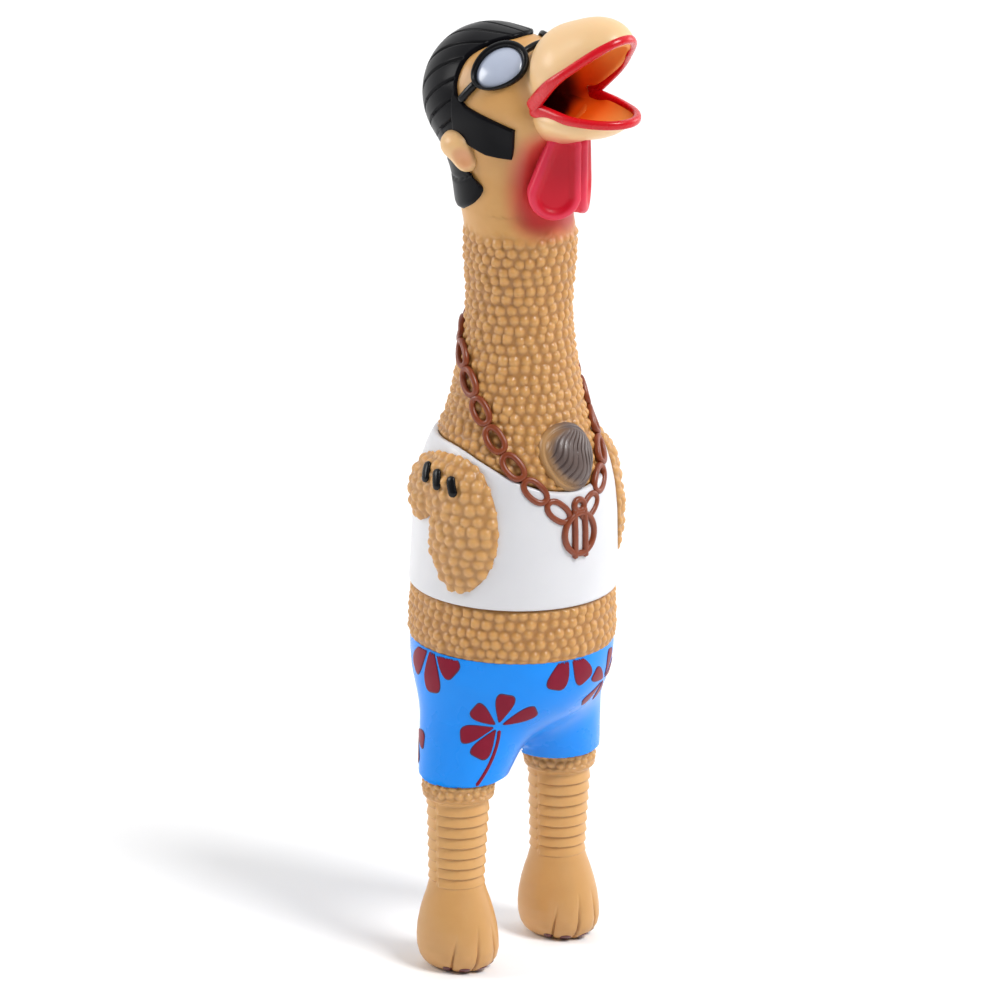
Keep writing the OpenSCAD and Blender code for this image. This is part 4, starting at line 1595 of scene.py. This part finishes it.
@dataclass
class Shorts:
    """The glossy blue shorts with generic dark red flowers."""

    step: float = 1.2
    tube_top_z: float = 100.0
    hem_radius: float = 18.2
    flare: float = 10.0
    seat_y: float = 7.0
    seat_z: float = 95.9
    boss_radius: float = 13.2
    hole_radius: float = 10.4

    def shape(self, p: Points) -> Points:
        """Return the distance to the filled shorts."""
        whole = ball(p, (0, 0, 145), (45.2, 44.8, 42.0))
        for side in Side:
            low, high = (side.value * LEG_X, 0, 84), (side.value * 17.8, 0, 127)
            whole = soft_min(whole, cone(p, low, high, self.hem_radius, 28.2), self.flare)
        boss = soft_max(self._off_seat(p) - self.boss_radius, self.seat_z - p[..., 2], 2.0)
        boss = soft_max(boss, p[..., 2] - 125.0, 2.0)
        return soft_min(whole, boss, 4.0)

    def _off_seat(self, p: Points) -> Points:
        """Return the distance from the upright axis of the squawker."""
        return np.hypot(p[..., 0], p[..., 1] - self.seat_y)

    def _rolled(self, points: Points) -> Points:
        """Roll the hem and the waistband inwards."""
        for side in Side:
            axis = np.array([side.value * LEG_X, 0.0])
            near = np.sign(points[:, 0]) == side.value
            low = near & (points[:, 2] < HEM_Z + 1.2)
            off = points[low, :2] - axis
            share = 1 - ease(HEM_Z - 1.0, HEM_Z + 1.2, points[low, 2])
            points[low, :2] = axis + off * (1 - 0.09 * share)[:, None]
        return points

    def build(self) -> None:
        """Make the hips, the two leg tubes and the flowers."""
        whole = implicit(self.shape, (-54, -50, 84), (54, 50, 156), self.step)
        whole.points[:, 2] = np.clip(whole.points[:, 2], HEM_Z - 0.8, WAIST_Z + 0.6)
        whole.points = self._rolled(whole.points)
        middle = whole.middles()
        z = middle[:, 2]
        brim = np.hypot(middle[:, 0], middle[:, 1]) > 41.0
        hole = (self._off_seat(middle) < self.hole_radius) & (z < self.seat_z + 2.0)
        wall = (z > HEM_Z - 0.6) & ((z < WAIST_Z + 0.5) | brim) & ~hole
        upper = (z >= self.tube_top_z) | (self._off_seat(middle) < self.boss_radius + 1.8)
        hips = whole.part(wall & upper).build("shorts_hips", SHORTS_BLUE)
        stand_in(hips, "shorts_paint", "shorts")
        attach(hips, "torso")
        for side in Side:
            keep = wall & ~upper & (np.sign(middle[:, 0]) == side.value)
            leg = whole.part(keep).build(f"shorts_{side.word}_leg", SHORTS_BLUE)
            stand_in(leg, "shorts_paint")
            bend_hip(leg)
        self._flowers()

    def _on_front(self, turn_deg: float, z: float) -> Points:
        """Return a point of the shorts in a direction from the front at a height."""
        turn = math.radians(turn_deg)
        start = np.array([0.0, 0.0, z])
        return cast(self.shape, start, np.array([math.sin(turn), -math.cos(turn), 0.0]), 80.0)

    def _petal(self, centre: Points, heading: float, length: float, width: float) -> list[Points]:
        """Draw one petal on the shorts.

        Args:
            centre: the flower's middle.
            heading: direction of the petal from straight up, in radians.
            length: its length.
            width: its greatest width.

        Returns:
            Its outline, and that of its darker border.
        """
        out = slope_of(self.shape, centre)
        up = unit(np.array([0.0, 0.0, 1.0]) - out[2] * out)
        across = np.cross(up, out)
        ahead = math.cos(heading) * up + math.sin(heading) * across
        side = np.cross(out, ahead)
        t = np.linspace(0, 2 * math.pi, 48, endpoint=False)
        outlines = []
        for grow in (0.0, 0.45):
            along = length * (0.58 - 0.44 * np.cos(t)) + grow * -np.cos(t)
            blunt = np.sign(np.sin(t)) * np.abs(np.sin(t)) ** 0.75
            wide = (width / 2 + grow) * blunt * (0.60 - 0.42 * np.cos(t))
            notch = 0.6 * np.exp(-((t - math.pi) / 0.35) ** 2)
            outlines.append(centre + (along - notch)[:, None] * ahead + wide[:, None] * side)
        return outlines

    def _flower(
        self, turn_deg: float, z: float, size: float, headings: Iterable[float]
    ) -> tuple[list[Sheet], list[Sheet]]:
        """Make one flower.

        Args:
            turn_deg: direction of its middle from the front.
            z: height of its middle.
            size: length of its petals.
            headings: direction of each petal from straight up, in degrees.

        Returns:
            Its petals and their borders.
        """
        centre = self._on_front(turn_deg, z)
        petals, borders = [], []
        for number, heading in enumerate(headings):
            length = size * (1.0 + 0.10 * math.sin(number * 2.3))
            inner, outer = self._petal(centre, math.radians(heading), length, size * 0.66)
            petals.append(raised_patch(self.shape, inner, 0.34, 0.3, rings=6))
            borders.append(raised_patch(self.shape, outer, 0.20, 0.2, rings=6))
        return petals, borders

    def _stem(self, turn_deg: float, z_top: float, z_low: float, lean: float) -> Sheet:
        """Make the curved stem of a flower.

        Args:
            turn_deg: direction of its top from the front.
            z_top: height of its top.
            z_low: height of its lower end.
            lean: how far round the lower end is from the top, in degrees.

        Returns:
            The stem.
        """
        share = np.linspace(0, 1, 40)
        z = z_top + (z_low - z_top) * share
        turn = turn_deg + lean * share**1.7
        path = np.stack([self._on_front(a, b) for a, b in zip(turn, z)])
        path = snapped(self.shape, path, gap=0.05)
        return tube(path, slope_of(self.shape, path), 1.7, 0.8, sides=10)

    def _flowers(self) -> None:
        """Make every flower: five petals each, some cut by the waistband as a print is."""
        beds = {
            Side.RIGHT: (
                (-53.5, 117, 17, (9, 67, -54, -106, -149)),
                (-97, 153, 23, (-140, 173, 128)),
                (-117, 107, 16, (148, 95, 200)),
                (-150, 120, 16, (0, 72, 144, 216, 288)),
            ),
            Side.LEFT: (
                (-12, 154, 23, (-163, 148)),
                (27, 131, 15, (8, 80, 152, 224, 296)),
                (74, 146, 19, (176, 128, 232)),
                (100, 108, 15, (0, 72, 144, 216, 288)),
                (168, 138, 17, (110, 182, 254)),
            ),
        }
        for side, bed in beds.items():
            petals, borders = [], []
            for flower in bed:
                inner, outer = self._flower(*flower)
                petals += inner
                borders += outer
            if side is Side.RIGHT:
                petals.append(self._stem(-53, 115, HEM_Z + 0.4, -13))
            self._print(petals, f"{side.word}_petals", FLOWER_RED)
            self._print(borders, f"{side.word}_petal_borders", FLOWER_EDGE)

    def _print(self, sheets: list[Sheet], name: str, finish: Finish) -> None:
        """Lay a part of the print on the shorts, cut off at the waistband and the hem.

        Args:
            sheets: its patches.
            name: name of the piece.
            finish: its finish.
        """
        whole = joined(sheets)
        z = whole.middles()[:, 2]
        piece = whole.part((z < WAIST_Z - 0.4) & (z > HEM_Z)).build(name, finish)
        stand_in(piece, "shorts_paint")
        bend_hip(piece)


def bend_hip(piece: bpy.types.Object) -> None:
    """Bake the transform of a piece of the hips or a leg into its mesh."""
    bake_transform(piece)


@dataclass
class Leg:
    """A leg: nubby thigh band, stepped rings with mould seams, club foot and nails."""

    side: Side
    columns: int = 300
    split_z: float = 61.0
    rings: int = 8
    ring_top_z: float = 78.6
    ring_foot_z: float = 38.6
    step_depth: float = 1.15
    groove_turns: tuple[float, ...] = (-46.0, -14.0, 14.0, 46.0)
    toe_turns: tuple[float, ...] = (-60.0, -30.0, 0.0, 30.0, 60.0)
    nubs: Nubs = Nubs(pitch=4.0, radius=2.1, height=1.2)

    def _foot_radius(self, turn: Points, z: Points) -> Points:
        """Return the radius of the foot in each direction at each height."""
        heights = [0, 1.2, 3, 6, 10, 15, 20, 26, 31, 35, 39, 44]
        sides = [9.4, 12.2, 14.2, 16.0, 17.1, 17.4, 17.1, 16.0, 14.6, 13.2, 12.1, 11.8]
        fronts = [12.8, 16.2, 18.4, 20.2, 20.8, 20.0, 18.8, 16.8, 15.0, 13.4, 12.1, 11.8]
        backs = [9.2, 11.8, 13.6, 15.2, 16.2, 16.5, 16.2, 15.2, 14.0, 12.8, 12.1, 11.8]
        side, front, back = (np.interp(z, heights, row) for row in (sides, fronts, backs))
        forward = np.cos(turn)
        end = np.where(forward > 0, front, back)
        return (np.abs(forward / end) ** 2.1 + np.abs(np.sin(turn) / side) ** 2.1) ** (-1 / 2.1)

    def _ring_rise(self, turn: Points, z: Points) -> Points:
        """Return the stepped rings, offset by half a ring behind the mould seam."""
        share = (self.ring_top_z - z) / (self.ring_top_z - self.ring_foot_z)
        behind = np.cos(turn) < 0
        place_in = (np.clip(share, 0, 1) ** 1.06) * self.rings + 0.5 * behind
        within = place_in - np.floor(place_in)
        stepped = (within - 0.45) * self.step_depth
        edge = ease(0.955, 1.0, within)
        stepped = stepped * (1 - edge) - 0.45 * self.step_depth * edge
        seam = ease(0.02, 0.10, np.abs(np.cos(turn)))
        band = ease(0.0, 0.03, share) * (1 - ease(0.985, 1.0, share))
        return stepped * seam * band

    def radius(self, turn: Points, z: Points) -> tuple[Points, Points]:
        """Return the skin's radius and the height of its nubs."""
        shank = np.interp(z, [39, 60, 79, 81, 88, 92], [12.0, 12.8, 13.7, 14.4, 14.7, 14.7])
        mix = ease(36.0, 46.0, z)
        base = self._foot_radius(turn, z) * (1 - mix) + shank * mix
        nub = self.nubs.rise(turn, z + 0 * turn + 1.0, lambda run: 15.0 + 0 * run)
        nub = nub * ease(80.2, 81.6, z) * (1 - ease(88.4, 89.6, z))
        roll = 0.8 * ease(78.6, 79.4, z) * (1 - ease(86.0, 88.0, z))
        roll = roll + 0.9 * np.exp(-(((z - 80.0) / 1.1) ** 2))
        return base + nub + roll + self._ring_rise(turn, z) - self._toe_grooves(turn, z), nub

    def _toe_grooves(self, turn: Points, z: Points) -> Points:
        """Return the depth of the grooves between the toes."""
        depth = np.zeros(np.broadcast(turn, z).shape)
        for groove in self.groove_turns:
            top = 24.0 if abs(groove) < 30 else 19.0
            drift = math.radians(groove) * (1 + 0.010 * (14.0 - z))
            off = np.abs(turn - drift) * 19.0
            cut = 1.15 * np.exp(-(off / 0.55) ** 2) + 0.55 * np.exp(-(off / 2.2) ** 2)
            depth += cut * (1 - ease(4.0, top, z)) ** 0.7
        return depth

    def _around(self, turn: Points, z: Points, radius: Points) -> Points:
        """Return points in some directions, at some heights, off the leg's own axis."""
        x = self.side.value * LEG_X + radius * np.sin(turn)
        return np.stack([x, -radius * np.cos(turn), z + 0 * turn], axis=-1)

    def build(self) -> None:
        """Make the leg, the foot and the nails."""
        fine = np.arange(36.0, 91.5, 0.3)
        z = np.concatenate([[0.0, 0.35, 0.9, 1.7], np.arange(2.6, 36.0, 0.8), fine])[:, None]
        turn = np.linspace(-math.pi, math.pi, self.columns, endpoint=False)[None, :]
        radius, nub = self.radius(turn, z)
        grid = self._around(turn, z, radius)
        normals = grid_normals(grid, True)
        sole = [grid[0] * (1 - f) + grid[0].mean(axis=0) * f for f in (0.95, 0.6, 0.3, 0.08)]
        rows = np.concatenate([np.stack(sole), grid])
        normals = np.concatenate([np.tile([0.0, 0.0, -1.0], (len(sole) * self.columns, 1)), normals])
        # Painted shade in the hollows of the leg and foot; none on the sole.
        valley_shade = np.concatenate([np.zeros((len(sole), self.columns)), self._valley_shades(turn, z, nub)])
        valley_shade = valley_shade.reshape(-1)
        masks = {"valley_shade": valley_shade, "pale": 0.1 + 0 * valley_shade, "blush": 0 * valley_shade}
        whole = Sheet(rows.reshape(-1, 3), grid_faces(len(rows), self.columns, True), masks, normals)
        middle = whole.middles()[:, 2]
        word = self.side.word
        leg = whole.part(middle >= self.split_z).build(f"{word}_leg_ringed", LATEX)
        stand_in(leg, "skin_latex", f"{word}_leg")
        bend_hip(leg)
        foot = whole.part(middle < self.split_z).build(f"{word}_foot_club", LATEX)
        stand_in(foot, "skin_latex", f"{word}_foot")
        self._bend_ankle(foot)
        self._nails()

    def _valley_shades(self, turn: Points, z: Points, nub: Points) -> Points:
        """Paint shade into the hollows of the skin: between the nubs, under the step of each ring and in the
        toe grooves, and darker towards the foot.

        Args:
            turn: directions around the leg.
            z: heights.
            nub: height of the nubs at each point.

        Returns:
            How dark each point is, 0 to 1.
        """
        # Painted shade between the nubs, painted shadow under each ring's step, and painted shade in the toe
        # grooves over a darker foot.
        between = (1 - nub / 1.35).clip(0, 1) ** 1.5 * ease(79.0, 80.0, z) * 0.45
        steps = np.clip(-self._ring_rise(turn, z) * 3.0 - 0.9, 0, 0.8)
        foot_shade = 0.22 * (1 - ease(36.0, 44.0, z))
        return np.maximum(between + steps, np.clip(self._toe_grooves(turn, z) - 0.4, foot_shade, 0.9))

    def _bend_ankle(self, piece: bpy.types.Object) -> None:
        """Bake the transform of a piece of the foot into its mesh."""
        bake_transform(piece)

    def _nails(self) -> None:
        """Make the dark nails under the tips of the toes."""
        nails = []
        angle = np.linspace(0, 2 * math.pi, 40, endpoint=False)[None, :]
        share = np.linspace(0.02, 1.0, 10)[:, None]
        lift = 0.45 * np.sqrt(np.clip(1 - share**2, 0, 1)) - 0.12 * (share >= 1)
        for toe in self.toe_turns:
            turn = math.radians(toe) + share * 0.16 * np.cos(angle)
            z = 1.9 + share * 1.75 * np.sin(angle)
            radius, _ = self.radius(turn, z)
            grid = self._around(turn, z, radius + lift)
            nails.append(Sheet(grid.reshape(-1, 3), grid_faces(*grid.shape[:2], True)))
        piece = joined(nails).build(f"{self.side.word}_toe_nails_tips", NAIL_MAROON)
        stand_in(piece, "nail_paint", f"{self.side.word}_toe_nails")
        self._bend_ankle(piece)


@dataclass
class Squawker:
    """The cartridge inside: its frame nodes stay and get their finishes."""

    finishes: dict[str, Finish] = field(default_factory=lambda: {
        "squawker_housing": IVORY, "squawker_grille": IVORY, "reed_plate": IVORY,
        "squawker_ring": STEEL, "reed_clamp": STEEL, "reed_tongue": REED,
    })

    def build(self) -> None:
        """Dress the nodes of the squawker."""
        for node, finish in self.finishes.items():
            mesh = frame["nodes"][node].data
            mesh.materials.clear()
            mesh.materials.append(finish.material())
            log.info("%s: %s", node, finish.name)


def direction(azimuth: float, elevation: float) -> Vector:
    """Return the way from the chicken to something around it, from two angles in radians."""
    flat = math.cos(elevation)
    return Vector((math.sin(azimuth) * flat, -math.cos(azimuth) * flat, math.sin(elevation)))


@dataclass
class Studio:
    """Pale floor, soft lights and the camera."""

    azimuth: float = math.radians(-46.0)
    elevation: float = math.radians(18.0)
    distance: float = 6000.0
    roll: float = math.radians(1.2)
    aim: tuple[float, float, float] = (-4.5, 4.7, 208.6)
    lens_mm: float = 491.0
    floor_side: float = 12.0

    def _camera(self) -> None:
        """Put up the camera."""
        data = bpy.data.cameras.new("camera")
        data.lens = self.lens_mm
        data.clip_end = 20.0
        camera = linked("camera", data)
        back = direction(self.azimuth, self.elevation)
        camera.location = Vector(place(*self.aim)) + back * self.distance * MM
        look = back.to_track_quat("Z", "Y").to_matrix().to_4x4()
        camera.matrix_world = Matrix.Translation(camera.location) @ look @ Matrix.Rotation(self.roll, 4, "Z")
        bpy.context.scene.camera = camera

    def _sun(self, azimuth: float, elevation: float, strength: float, spread: float) -> None:
        """Put up the wide key light, even over the whole floor.

        Args:
            azimuth: where it comes from, in degrees from the front.
            elevation: how high it stands, in degrees.
            strength: its strength.
            spread: how wide it looks, in degrees.
        """
        data = bpy.data.lights.new("key", "SUN")
        data.energy = strength
        data.angle = math.radians(spread)
        sun = linked("key", data)
        back = direction(math.radians(azimuth), math.radians(elevation))
        sun.rotation_euler = back.to_track_quat("Z", "Y").to_euler()

    def _light(
        self, name: str, azimuth: float, elevation: float, size: float, power: float, tint: Colour
    ) -> None:
        """Put up one soft light that looks at the chest.

        Args:
            name: its name.
            azimuth: where it stands, in degrees from the front.
            elevation: how high it stands, in degrees.
            size: its side in metres.
            power: its power.
            tint: its colour.
        """
        data = bpy.data.lights.new(name, "AREA")
        data.shape = "SQUARE"
        data.size = size
        data.energy = power
        data.color = tint
        light = linked(name, data)
        back = direction(math.radians(azimuth), math.radians(elevation))
        light.location = Vector(place(0, 0, 220)) + back * 1.3
        light.rotation_euler = back.to_track_quat("Z", "Y").to_euler()

    def _sky(self, tree: bpy.types.NodeTree) -> None:
        """Make the surroundings white behind the chicken and dimmer in front of it."""
        way = tree.nodes.new("ShaderNodeTexCoord")
        behind = tree.nodes.new("ShaderNodeVectorMath")
        behind.operation = "DOT_PRODUCT"
        behind.inputs[1].default_value = (-math.sin(self.azimuth), math.cos(self.azimuth), 0.0)
        spread = tree.nodes.new("ShaderNodeMapRange")
        spread.interpolation_type = "SMOOTHSTEP"
        for socket, value in (("From Min", -0.5), ("From Max", 0.55), ("To Min", 0.16), ("To Max", 1.0)):
            spread.inputs[socket].default_value = value
        tree.links.new(way.outputs["Generated"], behind.inputs[0])
        tree.links.new(behind.outputs["Value"], spread.inputs["Value"])
        tree.links.new(spread.outputs["Result"], tree.nodes["Background"].inputs["Strength"])
        tree.nodes["Background"].inputs["Color"].default_value = (1.0, 1.0, 1.0, 1.0)

    def _floor(self) -> None:
        """Lay the plain floor."""
        mesh = bpy.data.meshes.new("floor")
        half = self.floor_side / 2
        corners = [(-half, -half, 0), (half, -half, 0), (half, half, 0), (-half, half, 0)]
        mesh.from_pydata(corners, [], [(0, 1, 2, 3)])
        floor = linked("floor", mesh)
        pale = bpy.data.materials.new("floor_pale")
        pale.use_nodes = True
        shader = pale.node_tree.nodes["Principled BSDF"]
        shader.inputs["Base Color"].default_value = (0.92, 0.92, 0.92, 1.0)
        shader.inputs["Roughness"].default_value = 0.85
        floor.data.materials.append(pale)

    def build(self) -> None:
        """Set the stage."""
        bpy.context.scene.view_settings.view_transform = "Standard"
        world = bpy.data.worlds.new("studio")
        bpy.context.scene.world = world
        world.use_nodes = True
        self._sky(world.node_tree)
        self._floor()
        self._sun(4, 50, 2.4, 22)
        self._light("left", -135, 26, 0.5, 6.0, (1.0, 0.99, 0.97))
        self._light("edge", 70, 20, 0.6, 4.0, (0.98, 0.99, 1.0))
        self._camera()


def write_sizes() -> None:
    """Update the view layer."""
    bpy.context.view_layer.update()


def main() -> None:
    """Build the chicken, part by part."""
    logging.basicConfig(level=logging.INFO, format="%(message)s")
    Studio().build()
    BodySkin().build()
    HeadSkin().build()
    Jaw().build()
    Wattles().build()
    Hair().build()
    FaceTrim().build()
    Shirt().build()
    ChestTuft().build()
    Chain().build()
    Shorts().build()
    for side in Side:
        Wing(side).build()
        Leg(side).build()
    Squawker().build()
    write_sizes()


if __name__ == "__main__":
    main()
